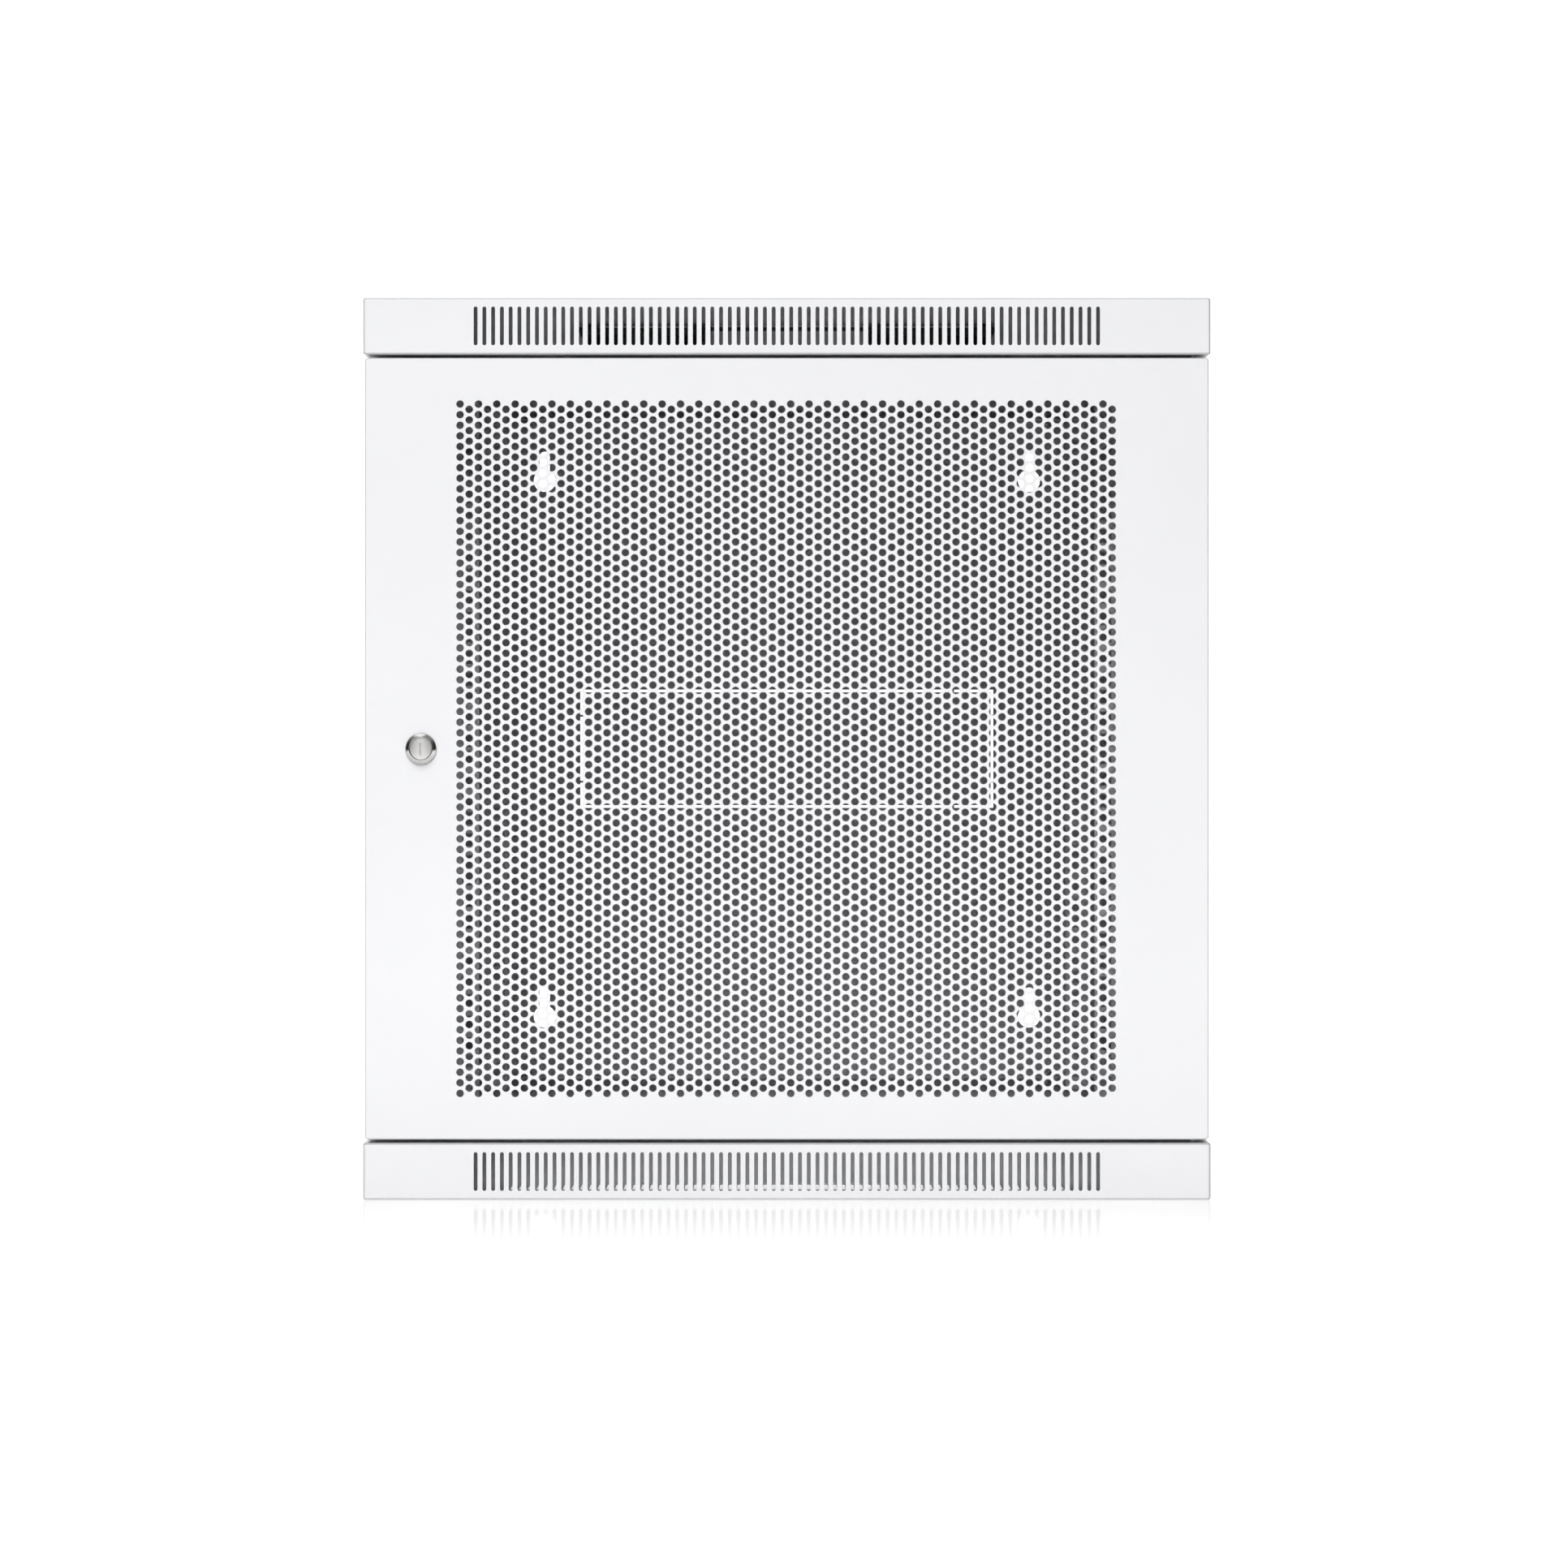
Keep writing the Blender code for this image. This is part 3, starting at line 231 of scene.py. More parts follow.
class Nodes:
    """A material's node tree, with short calls to add and join nodes."""

    def __init__(self, name):
        self.material = bpy.data.materials.new(name)
        self.material.use_nodes = True
        self.tree = self.material.node_tree
        self.shader = self.tree.nodes["Principled BSDF"]
        self.coordinates = self.add("ShaderNodeTexCoord")
        self.place = self.coordinates.outputs["Object"]

    def add(self, kind, **settings):
        node = self.tree.nodes.new(kind)
        for key, value in settings.items():
            setattr(node, key, value)
        return node

    def link(self, source, target):
        self.tree.links.new(source, target)

    def noise(self, scale, detail=3.0, stretch=None):
        """Noise over the object's own coordinates, with scale in features per metre."""
        node = self.add("ShaderNodeTexNoise")
        node.inputs["Scale"].default_value = scale
        node.inputs["Detail"].default_value = detail
        if stretch:
            mapping = self.add("ShaderNodeMapping")
            mapping.inputs["Scale"].default_value = stretch
            self.link(self.place, mapping.inputs["Vector"])
            self.link(mapping.outputs["Vector"], node.inputs["Vector"])
        else:
            self.link(self.place, node.inputs["Vector"])
        return node.outputs["Fac"]

    def spread(self, factor, low, high):
        """Maps the middle of a noise to a range of values."""
        node = self.add("ShaderNodeMapRange")
        node.inputs["From Min"].default_value = 0.3
        node.inputs["From Max"].default_value = 0.7
        node.inputs["To Min"].default_value = low
        node.inputs["To Max"].default_value = high
        self.link(factor, node.inputs["Value"])
        return node.outputs["Result"]

    def blend(self, factor, first, second):
        node = self.add("ShaderNodeMix", data_type="RGBA")
        colour_inputs = [item for item in node.inputs if item.type == "RGBA"]
        for target, colour in zip(colour_inputs, (first, second)):
            target.default_value = (*colour, 1)
        self.link(factor, node.inputs["Factor"])
        return next(item for item in node.outputs if item.type == "RGBA")

    def paint_fold_shade(self, colour):
        """Paints shade into the coat as a darker tone along folds, mostly along the ones that face up."""
        split = self.add("ShaderNodeSeparateXYZ")
        self.link(self.coordinates.outputs["Normal"], split.inputs["Vector"])
        sideways = self.add("ShaderNodeMath", operation="ABSOLUTE")
        self.link(split.outputs["X"], sideways.inputs[0])
        for turned_by, tone in ((split.outputs["Z"], LEVEL_FOLD_SHADE),
                                (sideways.outputs["Value"], UPRIGHT_FOLD_SHADE)):
            band = self.add("ShaderNodeMath", operation="MULTIPLY")
            sets_in = smooth_step(self.tree, turned_by, *FOLD_SHADE_SETS_IN, 0.0, 1.0)
            fades_out = smooth_step(self.tree, turned_by, *FOLD_SHADE_FADES_OUT, 1.0, 0.0)
            self.link(sets_in, band.inputs[0])
            self.link(fades_out, band.inputs[1])
            node = self.add("ShaderNodeMix", data_type="RGBA", blend_type="MULTIPLY")
            first, second = [item for item in node.inputs if item.type == "RGBA"]
            second.default_value = (*tone, 1)
            self.link(colour, first)
            self.link(band.outputs["Value"], node.inputs["Factor"])
            colour = next(item for item in node.outputs if item.type == "RGBA")
        return colour

    def bump(self, heights):
        """Chains bumps. heights lists (factor, distance in metres, strength)."""
        last = None
        for factor, distance, strength in heights:
            node = self.add("ShaderNodeBump")
            node.inputs["Distance"].default_value = distance
            node.inputs["Strength"].default_value = strength
            self.link(factor, node.inputs["Height"])
            if last:
                self.link(last, node.inputs["Normal"])
            last = node.outputs["Normal"]
        self.link(last, self.shader.inputs["Normal"])


def powder_coat():
    """Light grey polyester powder coat: a fine orange peel with a satin sheen."""
    nodes = Nodes("light_grey_powder_coat")
    cloud = nodes.spread(nodes.noise(9.0, 2.0), 0.0, 1.0)
    colour = nodes.blend(cloud, (0.558, 0.559, 0.570), (0.570, 0.571, 0.581))
    # the folds' darker tone is painted shade, set by which way each fold faces
    nodes.link(nodes.paint_fold_shade(colour), nodes.shader.inputs["Base Color"])
    rough = nodes.spread(nodes.noise(160.0), 0.42, 0.54)
    nodes.link(rough, nodes.shader.inputs["Roughness"])
    nodes.shader.inputs["Specular IOR Level"].default_value = 0.42
    nodes.bump(((nodes.noise(1100.0, 2.0), 0.00004, 0.35),
                (nodes.noise(330.0, 1.0), 0.00006, 0.25)))
    return nodes.material


def zinc_plate():
    """Bright zinc with a faint blue to straw passivation and fine drawing marks."""
    nodes = Nodes("zinc_plate")
    cloud = nodes.noise(70.0)
    colour = nodes.blend(nodes.spread(cloud, 0.0, 1.0), (0.58, 0.61, 0.65), (0.70, 0.69, 0.64))
    nodes.link(colour, nodes.shader.inputs["Base Color"])
    nodes.shader.inputs["Metallic"].default_value = 1.0
    nodes.link(nodes.spread(nodes.noise(420.0), 0.26, 0.44), nodes.shader.inputs["Roughness"])
    nodes.bump(((nodes.noise(900.0, 2.0, (1.0, 0.08, 1.0)), 0.00003, 0.30),))
    return nodes.material


def bright_nickel():
    """Soft grey plating, tumbled smooth, with a trace of buffing haze."""
    nodes = Nodes("bright_nickel")
    haze = nodes.noise(260.0)
    colour = nodes.blend(nodes.spread(haze, 0.0, 1.0), (0.50, 0.495, 0.485), (0.55, 0.545, 0.535))
    nodes.link(colour, nodes.shader.inputs["Base Color"])
    nodes.shader.inputs["Metallic"].default_value = 1.0
    nodes.link(nodes.spread(nodes.noise(600.0), 0.14, 0.22), nodes.shader.inputs["Roughness"])
    nodes.bump(((nodes.noise(1500.0, 1.0), 0.00001, 0.15),))
    return nodes.material


def satin_nickel():
    """The plug's face: brushed up and down, duller than the bezel."""
    nodes = Nodes("satin_nickel")
    strokes = nodes.noise(1800.0, 2.0, (1.0, 1.0, 0.05))
    colour = nodes.blend(nodes.spread(strokes, 0.0, 1.0), (0.74, 0.735, 0.72), (0.80, 0.795, 0.78))
    nodes.link(colour, nodes.shader.inputs["Base Color"])
    nodes.shader.inputs["Metallic"].default_value = 1.0
    nodes.link(nodes.spread(strokes, 0.34, 0.48), nodes.shader.inputs["Roughness"])
    nodes.bump(((strokes, 0.00002, 0.30),))
    return nodes.material


def black_plastic():
    """Glass-filled black moulding with a fine spark-eroded grain."""
    nodes = Nodes("black_fan_plastic")
    colour = nodes.blend(nodes.spread(nodes.noise(90.0), 0.0, 1.0), (0.010, 0.010, 0.011),
                         (0.017, 0.017, 0.018))
    nodes.link(colour, nodes.shader.inputs["Base Color"])
    nodes.link(nodes.spread(nodes.noise(700.0), 0.42, 0.60), nodes.shader.inputs["Roughness"])
    nodes.bump(((nodes.noise(1600.0, 2.0), 0.00004, 0.35),))
    return nodes.material


PAINT = powder_coat()
ZINC = zinc_plate()
NICKEL = bright_nickel()
SATIN = satin_nickel()
BLACK = black_plastic()
SLOT_LOOKS = {"paint": PAINT, "zinc": ZINC, "nickel": NICKEL, "fan_plastic": BLACK}

# the CAD nodes that have a piece of their own shape
REBUILT = {"top_cover", "bottom_cover", "door_leaf", "back_panel", "door_lock_barrel",
           "door_lock_plug", "hinge_spring"}
REBUILT |= {f"{side}_{part}" for side in SIDES
            for part in ("side_panel", "side_lock_barrel", "fan_frame", "fan_rotor")}

# ---------------------------------------------------------------- flat outlines


def circle(centre, radius, sides):
    """A regular outline with a corner to the right of its middle."""
    points = []
    for side in range(sides):
        angle = math.tau * side / sides
        points.append((centre[0] + radius * math.cos(angle), centre[1] + radius * math.sin(angle)))
    return points


def arc(centre, radius, start, end, steps):
    """Points along an arc, with its angles in degrees."""
    points = []
    for step in range(steps + 1):
        angle = math.radians(start + (end - start) * step / steps)
        points.append((centre[0] + radius * math.cos(angle), centre[1] + radius * math.sin(angle)))
    return points


def slot_outline(centre, length, width, upright, steps=5):
    """A slot with round ends."""
    radius = width / 2
    reach = length / 2 - radius
    x, y = centre
    if upright:
        return (arc((x, y + reach), radius, 0, 180, steps)
                + arc((x, y - reach), radius, 180, 360, steps))
    return (arc((x + reach, y), radius, -90, 90, steps)
            + arc((x - reach, y), radius, 90, 270, steps))


def rounded_rectangle(half_x, half_y, radius, steps=CORNER_STEPS):
    """Anticlockwise from the right end of the near side, with an arc at each corner."""
    radius = max(radius, 0.0002)
    x, y = half_x - radius, half_y - radius
    return (arc((x, -y), radius, -90, 0, steps) + arc((x, y), radius, 0, 90, steps)
            + arc((-x, y), radius, 90, 180, steps) + arc((-x, -y), radius, 180, 270, steps))


def keyhole_outline(centre):
    """A round hole for the screw's head, with a narrow slot above it."""
    x, y = centre
    meeting = math.degrees(math.asin(KEYHOLE_SLOT_RADIUS / KEYHOLE_RADIUS))
    return (arc((x, y), KEYHOLE_RADIUS, 90 + meeting, 450 - meeting, 24)
            + arc((x, y + KEYHOLE_RISE), KEYHOLE_SLOT_RADIUS, 0, 180, 12))


def knockout_outlines(centre):
    """Eight slits round the knock-out plate: four elbows and four straight ones."""
    outlines = []
    half_x, half_y = KNOCKOUT_HALF
    slit = KNOCKOUT_SLIT
    bridge_x, bridge_y = BRIDGE_PLACES
    for across in (-1, 1):
        for up in (-1, 1):
            x_end, y_end = bridge_x + BRIDGE_HALF_WIDTH, bridge_y + BRIDGE_HALF_WIDTH
            points = [(x_end, half_y), (half_x, half_y), (half_x, y_end), (half_x - slit, y_end),
                      (half_x - slit, half_y - slit), (x_end, half_y - slit)]
            outlines.append([(centre[0] + across * x, centre[1] + up * y) for x, y in points])
    for side in (-1, 1):
        middle = (centre[0], centre[1] + side * (half_y - slit / 2))
        outlines.append(box_outline(middle, bridge_x - BRIDGE_HALF_WIDTH, slit / 2))
        middle = (centre[0] + side * (half_x - slit / 2), centre[1])
        outlines.append(box_outline(middle, slit / 2, bridge_y - BRIDGE_HALF_WIDTH))
    return outlines


def box_outline(centre, half_x, half_y):
    """A plain rectangle."""
    x, y = centre
    return [(x - half_x, y - half_y), (x + half_x, y - half_y),
            (x + half_x, y + half_y), (x - half_x, y + half_y)]


# ---------------------------------------------------------------- mesh helpers


def inside(point, loop):
    """Even-odd test of a point against a closed outline."""
    crossings = 0
    for (x1, y1), (x2, y2) in zip(loop, [*loop[1:], loop[0]]):
        if (y1 > point[1]) != (y2 > point[1]):
            if point[0] < x1 + (point[1] - y1) * (x2 - x1) / (y2 - y1):
                crossings += 1
    return crossings % 2 == 1


def flat_face(shape, outline, holes, origin, across, up):
    """Fills the area between an outline and its holes, in the plane of across and up."""
    points = []
    owner = []
    edges = []
    loops = [outline, *holes]
    for number, loop in enumerate(loops):
        first = len(points)
        count = len(loop)
        for step in range(count):
            edges.append((first + step, first + (step + 1) % count))
        points += [Vector(point) for point in loop]
        owner += [number] * count
    flat, _, triangles, sources, _, _ = delaunay_2d_cdt(points, edges, [], 1, 0.0000001)
    made = [shape.verts.new(origin + across * point.x + up * point.y) for point in flat]
    for triangle in triangles:
        numbers = {owner[sources[corner][0]] for corner in triangle}
        if len(numbers) == 1:
            number = numbers.pop()
            middle = sum((flat[corner] for corner in triangle), Vector((0, 0))) / 3
            if number and inside(middle, loops[number]):
                continue
        shape.faces.new([made[corner] for corner in triangle])


def as_object(name, shape):
    """Turns a finished shape into an object of the scene."""
    mesh = bpy.data.meshes.new(name)
    shape.to_mesh(mesh)
    shape.free()
    made = bpy.data.objects.new(name, mesh)
    bpy.context.scene.collection.objects.link(made)
    return made


def finish_shape(name, shape, material, body, node=None, place=None, smooth=None):
    """Makes the piece's object, rides it on its body and hides the CAD node it stands for."""
    if place:
        bmesh.ops.transform(shape, matrix=place, verts=shape.verts)
    piece = as_object(name, shape)
    piece.data.materials.append(material)
    if smooth:
        piece.data.shade_smooth()
        piece.data.set_sharp_from_angle(angle=math.radians(smooth))
    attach(piece, body)
    if node:
        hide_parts(node)
    return piece


def thicken(piece, thickness=SHEET, offset=-1):
    """Gives a sheet its thickness, inwards unless offset says otherwise."""
    step = piece.modifiers.new("thickness", "SOLIDIFY")
    step.thickness = thickness
    step.offset = offset
    step.use_even_offset = True


def tray_rings(fold, depth, lip):
    """A tray's section as (inset, height), and where in it the flange and the lip start."""
    angles = [math.radians(90 * step / FOLD_STEPS) for step in range(FOLD_STEPS + 1)]
    rings = [(fold * (1 - math.sin(angle)), -fold * (1 - math.cos(angle))) for angle in angles]
    flange_start = len(rings) - 1
    if not lip:
        return [*rings, (0.0, -depth)], flange_start, None
    rings += [(fold * (1 - math.cos(angle)), -depth + fold * (1 - math.sin(angle)))
              for angle in angles]
    return [*rings, (lip, -depth)], flange_start, len(rings) - 1


def near_side(loops, ring):
    """The four corners of a tray's near side between a ring and the next one."""
    upper, lower = loops[ring:ring + 2]
    return upper[-1], lower[-1], lower[0], upper[0]


def tray(name, half_x, half_y, depth, place, body, base_holes=(), front_holes=(), lip=0.0,
         front_lip=0.0, lip_holes=(), fold=FOLD_RADIUS, corner=CORNER_RADIUS, mirrored=False):
    """A folded sheet-metal tray. It replaces the CAD node that its name begins with.

    In its own frame the base lies at z = 0, facing up, and the flanges go down. front_holes
    are cut in the flange on the -y side and lip_holes in the lip on that side, as (x, y).
    """
    rings, flange_start, lip_start = tray_rings(fold, depth, lip)
    shape = bmesh.new()
    loops = []
    for inset, height in rings:
        outline = rounded_rectangle(half_x - inset, half_y - inset, corner - inset)
        loops.append([Vector((x, y, height)) for x, y in outline])
    if lip and front_lip:
        for point in loops[-1]:
            if point.y < 0:
                point.y = front_lip - half_y
    verts = [[shape.verts.new(point) for point in loop] for loop in loops]
    count = len(loops[0])
    front_segment = count - 1
    for number, (upper, lower) in enumerate(zip(verts, verts[1:])):
        for step in range(count):
            following = (step + 1) % count
            if step == front_segment:
                if number == flange_start and front_holes:
                    continue
                if number == lip_start and lip_holes:
                    continue
            shape.faces.new((upper[step], lower[step], lower[following], upper[following]))
    outline = [(point.x, point.y) for point in loops[0]]
    flat_face(shape, outline, base_holes, ORIGIN, X_AXIS, Y_AXIS)
    if front_holes:
        front = [(point.x, point.z) for point in near_side(loops, flange_start)]
        flat_face(shape, front, front_holes, -half_y * Y_AXIS, X_AXIS, Z_AXIS)
    if lip_holes:
        under = [(point.x, point.y) for point in near_side(loops, lip_start)]
        flat_face(shape, under, lip_holes, -depth * Z_AXIS, X_AXIS, Y_AXIS)
    bmesh.ops.remove_doubles(shape, verts=shape.verts, dist=WELD)
    bmesh.ops.recalc_face_normals(shape, faces=shape.faces)
    base = max(shape.faces, key=lambda face: face.calc_center_median().z)
    if base.normal.z < 0:
        bmesh.ops.reverse_faces(shape, faces=shape.faces)
    if mirrored:
        bmesh.ops.reverse_faces(shape, faces=shape.faces)
    node = name.removesuffix("_sheet")
    piece = finish_shape(name, shape, PAINT, body, node, place)
    thicken(piece)
    return piece


def turned(name, profile, place, direction, material, body, node=None, closed=False,
           sides=48, smooth=35):
    """A profile of (radius, height) points turned about the line from place along direction."""
    shape = bmesh.new()
    points = [shape.verts.new((radius, 0, height)) for radius, height in profile]
    edges = [shape.edges.new(pair) for pair in zip(points, points[1:])]
    if closed:
        edges.append(shape.edges.new((points[-1], points[0])))
    bmesh.ops.spin(shape, geom=points + edges, cent=(0, 0, 0), axis=(0, 0, 1), angle=math.tau,
                   steps=sides, use_duplicate=False)
    bmesh.ops.remove_doubles(shape, verts=shape.verts, dist=WELD)
    bmesh.ops.recalc_face_normals(shape, faces=shape.faces)
    turn = Vector(direction).to_track_quat("Z", "Y").to_matrix().to_4x4()
    return finish_shape(name, shape, material, body, node, Matrix.Translation(place) @ turn,
                        smooth)


# ---------------------------------------------------------------- covers


def front_vents(middle):
    """The row of upright slots along a cover's front."""
    slots = []
    for index in range(VENT_COUNT):
        x = (index - (VENT_COUNT - 1) / 2) * VENT_PITCH
        slots.append(slot_outline((x, middle), VENT_LENGTH, VENT_WIDTH, upright=True))
    return slots


def roof_vents():
    """Above each fan, a round field of slots that run from left to right."""
    slots = []
    for side in SIDES:
        middle = middle_of(f"{side}_fan_frame")
        for index in range(ROOF_VENT_COUNT):
            offset = (index - (ROOF_VENT_COUNT - 1) / 2) * ROOF_VENT_PITCH
            half = math.sqrt(ROOF_VENT_RADIUS**2 - offset**2)
            centre = (middle.x, middle.y + offset)
            slots.append(slot_outline(centre, 2 * half, ROOF_VENT_WIDTH, upright=False))
    return slots


def floor_vents():
    """A row of narrow slots through the bottom cover's floor, close to its front."""
    slots = []
    for index in range(FLOOR_VENT_COUNT):
        x = (index - (FLOOR_VENT_COUNT - 1) / 2) * FLOOR_VENT_PITCH
        centre = (x, FLOOR_VENT_START_Y + FLOOR_VENT_LENGTH / 2)
        slots.append(slot_outline(centre, FLOOR_VENT_LENGTH, FLOOR_VENT_WIDTH, upright=True))
    return slots


def covers():
    """The top cover, and the bottom cover as its mirror image."""
    half_x = (TOP_HIGH.x - TOP_LOW.x) / 2
    half_y = (TOP_HIGH.y - TOP_LOW.y) / 2
    depth = TOP_HIGH.z - TOP_LOW.z
    vents = front_vents(-depth / 2)
    hinge_hole = [circle((HINGE.x, HINGE.y), HINGE_HOLE_RADIUS, 24)]
    shared = {"front_holes": vents, "lip": COVER_LIP, "front_lip": COVER_FRONT_LIP,
              "lip_holes": hinge_hole, "fold": COVER_FOLD_RADIUS}
    tray("top_cover_sheet", half_x, half_y, depth, Matrix.Translation((0, 0, TOP_HIGH.z)),
         "cabinet", base_holes=roof_vents(), **shared)
    upside_down = Matrix.Diagonal((1, 1, -1, 1))
    tray("bottom_cover_sheet", half_x, half_y, depth, upside_down, "cabinet",
         base_holes=floor_vents(), mirrored=True, **shared)
    studs()


def studs():
    """The welded studs inside the covers, which hold the posts' nuts."""
    profile = [(0, 0), (STUD_RADIUS - 0.0005, 0), (STUD_RADIUS, -0.0006),
               (STUD_RADIUS, -STUD_LENGTH), (0, -STUD_LENGTH)]
    for level, base, up in (("upper", TOP_HIGH.z - SHEET, -1), ("lower", BOTTOM_LOW.z + SHEET, 1)):
        for end in ("front", "rear"):
            for side in SIDES:
                nut = middle_of(f"{level}_{end}_{side}_nut")
                tip = Vector((nut.x, nut.y, base + up * STUD_REACH))
                turned(f"{level}_{end}_{side}_stud", profile, tip, (0, 0, up), ZINC, "cabinet",
                       sides=16)


# ---------------------------------------------------------------- door and panels


def door_holes():
    """The perforated field, in the door's own middle frame: 72 staggered columns."""
    holes = []
    for column in range(HOLE_COLUMNS):
        x = HOLE_FIELD_X + (column - (HOLE_COLUMNS - 1) / 2) * COLUMN_PITCH
        rows = HOLE_ROWS - column % 2
        for row in range(rows):
            z = (row - (rows - 1) / 2) * ROW_PITCH
            holes.append(circle((x, z), HOLE_RADIUS, HOLE_SIDES))
    return holes


def door():
    """The perforated door leaf, stood upright."""
    half_x = (DOOR_HIGH.x - DOOR_LOW.x) / 2
    half_z = (DOOR_HIGH.z - DOOR_LOW.z) / 2
    depth = DOOR_HIGH.y - DOOR_LOW.y
    place = Matrix.Translation((0, DOOR_LOW.y, MIDDLE_Z)) @ STOOD_UP
    lock_hole = circle((LOCK.x, LOCK.z - MIDDLE_Z), DOOR_LOCK_HOLE_RADIUS, 48)
    tray("door_leaf_sheet", half_x, half_z, depth, place, "door",
         base_holes=[lock_hole, *door_holes()])


def back_panel():
    """The back panel, with its keyholes and the slits round its knock-out plate."""
    half_x = (BACK_HIGH.x - BACK_LOW.x) / 2
    half_z = (BACK_HIGH.z - BACK_LOW.z) / 2
    depth = BACK_HIGH.y - BACK_LOW.y
    about_face = Matrix.Rotation(math.pi, 4, "Z")
    place = Matrix.Translation((0, BACK_HIGH.y, MIDDLE_Z)) @ about_face @ STOOD_UP
    holes = knockout_outlines((0, 0))
    for side in SIDES.values():
        for up in (-1, 1):
            holes.append(keyhole_outline((side * KEYHOLE_X, up * KEYHOLE_RISE_FROM_MIDDLE)))
    tray("back_panel_sheet", half_x, half_z, depth, place, "cabinet", base_holes=holes)


def side_panels():
    """The two side panels, each with the hole for its lock."""
    for side, sign in SIDES.items():
        low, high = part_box(f"{side}_side_panel")
        half_y = (high.y - low.y) / 2
        half_z = (high.z - low.z) / 2
        middle = (low + high) / 2
        outer = high.x if sign > 0 else low.x
        turn = Matrix(((0, 0, sign, 0), (sign, 0, 0, 0), (0, 1, 0, 0), (0, 0, 0, 1)))
        place = Matrix.Translation((outer, middle.y, middle.z)) @ turn
        lock = middle_of(f"{side}_side_lock_barrel")
        hole_place = (sign * (lock.y - middle.y), lock.z - middle.z)
        hole = circle(hole_place, SIDE_LOCK_HOLE_RADIUS, 40)
        tray(f"{side}_side_panel_sheet", half_y, half_z, high.x - low.x, place,
             f"{side}_side_cover", base_holes=[hole])


# ---------------------------------------------------------------- locks


def door_lock_bezel():
    """The lock barrel, with its bright rounded rim."""
    low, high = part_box("door_lock_barrel")
    outer = (high.x - low.x) / 2
    proud = FRONT_Y - low.y
    bore = 0.0079
    crest = 0.0083
    body_radius = 0.0095
    back = -(high.y - FRONT_Y)
    profile = [(outer, 0.0003), (outer, 0.0006)]
    profile += arc((outer - 0.0005, 0.0006), 0.0005, 0, 50, 4)[1:]
    profile += arc((crest, proud - 0.0004), 0.0004, 60, 150, 4)
    profile += [(bore, proud - 0.0009), (bore, back), (body_radius, back), (body_radius, 0.0003)]
    turned("door_lock_bezel", profile, (LOCK.x, FRONT_Y, LOCK.z), -Y_AXIS, NICKEL, "door",
           "door_lock_barrel", closed=True, sides=64, smooth=40)


def door_plug():
    """The door lock's plug, with a soft edge and the key slot in its face."""
    name, node = "door_lock_key_plug", "door_lock_plug"
    low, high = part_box(node)
    radius = (high.z - low.z) / 2 + PLUG_FIT
    length = high.y - low.y
    face = Vector((LOCK.x, low.y, LOCK.z))
    profile = [(0, 0), (radius - 0.0004, 0), (radius - 0.0001, -0.0001), (radius, -0.0004),
               (radius, -length), (0, -length)]
    piece = turned(name, profile, face, -Y_AXIS, SATIN, "door_lock_turning_parts", node,
                   sides=56, smooth=30)
    for number, (rise, width, height, depth) in enumerate(KEYWAY):
        cutter = slot_cutter(f"{name}_cutter_{number}", face, -Y_AXIS, rise, (width, height),
                             depth)
        step = piece.modifiers.new(cutter.name, "BOOLEAN")
        step.object = cutter
        step.operation = "DIFFERENCE"
        apply_modifiers(piece)
        bpy.data.objects.remove(cutter)


def slot_cutter(name, face, direction, rise, size, depth):
    """A solid for an upright slot with round ends, centred rise above the middle of a face."""
    reach = 0.002  # how far it stands out of the face
    width, height = size
    shape = bmesh.new()
    outline = slot_outline((0, rise), height, width, upright=True, steps=8)
    flat_face(shape, outline, [], face + direction * reach, direction.cross(Z_AXIS), Z_AXIS)
    grown = bmesh.ops.extrude_face_region(shape, geom=list(shape.faces))
    moved = [item for item in grown["geom"] if isinstance(item, bmesh.types.BMVert)]
    bmesh.ops.translate(shape, vec=-direction * (depth + reach), verts=moved)
    bmesh.ops.recalc_face_normals(shape, faces=shape.faces)
    return as_object(name, shape)


def apply_modifiers(piece):
    """Makes what the modifiers show the piece's own mesh."""
    bpy.context.view_layer.update()
    graph = bpy.context.evaluated_depsgraph_get()
    mesh = bpy.data.meshes.new_from_object(piece.evaluated_get(graph))
    piece.modifiers.clear()
    piece.data = mesh


def side_locks():
    """The two side lock barrels, each a chamfered rim and a hollow body."""
    for side, sign in SIDES.items():
        low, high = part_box(f"{side}_side_lock_barrel")
        middle = (low + high) / 2
        outer_x = high.x if sign > 0 else low.x
        inner_x = low.x if sign > 0 else high.x
        bezel = (high.z - low.z) / 2
        skin = -SHEET
        bore, body_radius = 0.0058, 0.0075
        back = -abs(outer_x - inner_x)
        profile = [(bezel, skin), (bezel, -0.0006), (bezel - 0.0006, 0), (bore + 0.0006, 0),
                   (bore, -0.0006), (bore, back), (body_radius, back), (body_radius, skin)]
        turned(f"{side}_side_lock_bezel", profile, (outer_x, middle.y, middle.z), (sign, 0, 0),
               NICKEL, f"{side}_side_cover", f"{side}_side_lock_barrel", closed=True,
               smooth=40)


# ---------------------------------------------------------------- fans


def between(pair, part):
    """A value part of the way from the first of a pair to the second."""
    return pair[0] + (pair[1] - pair[0]) * part


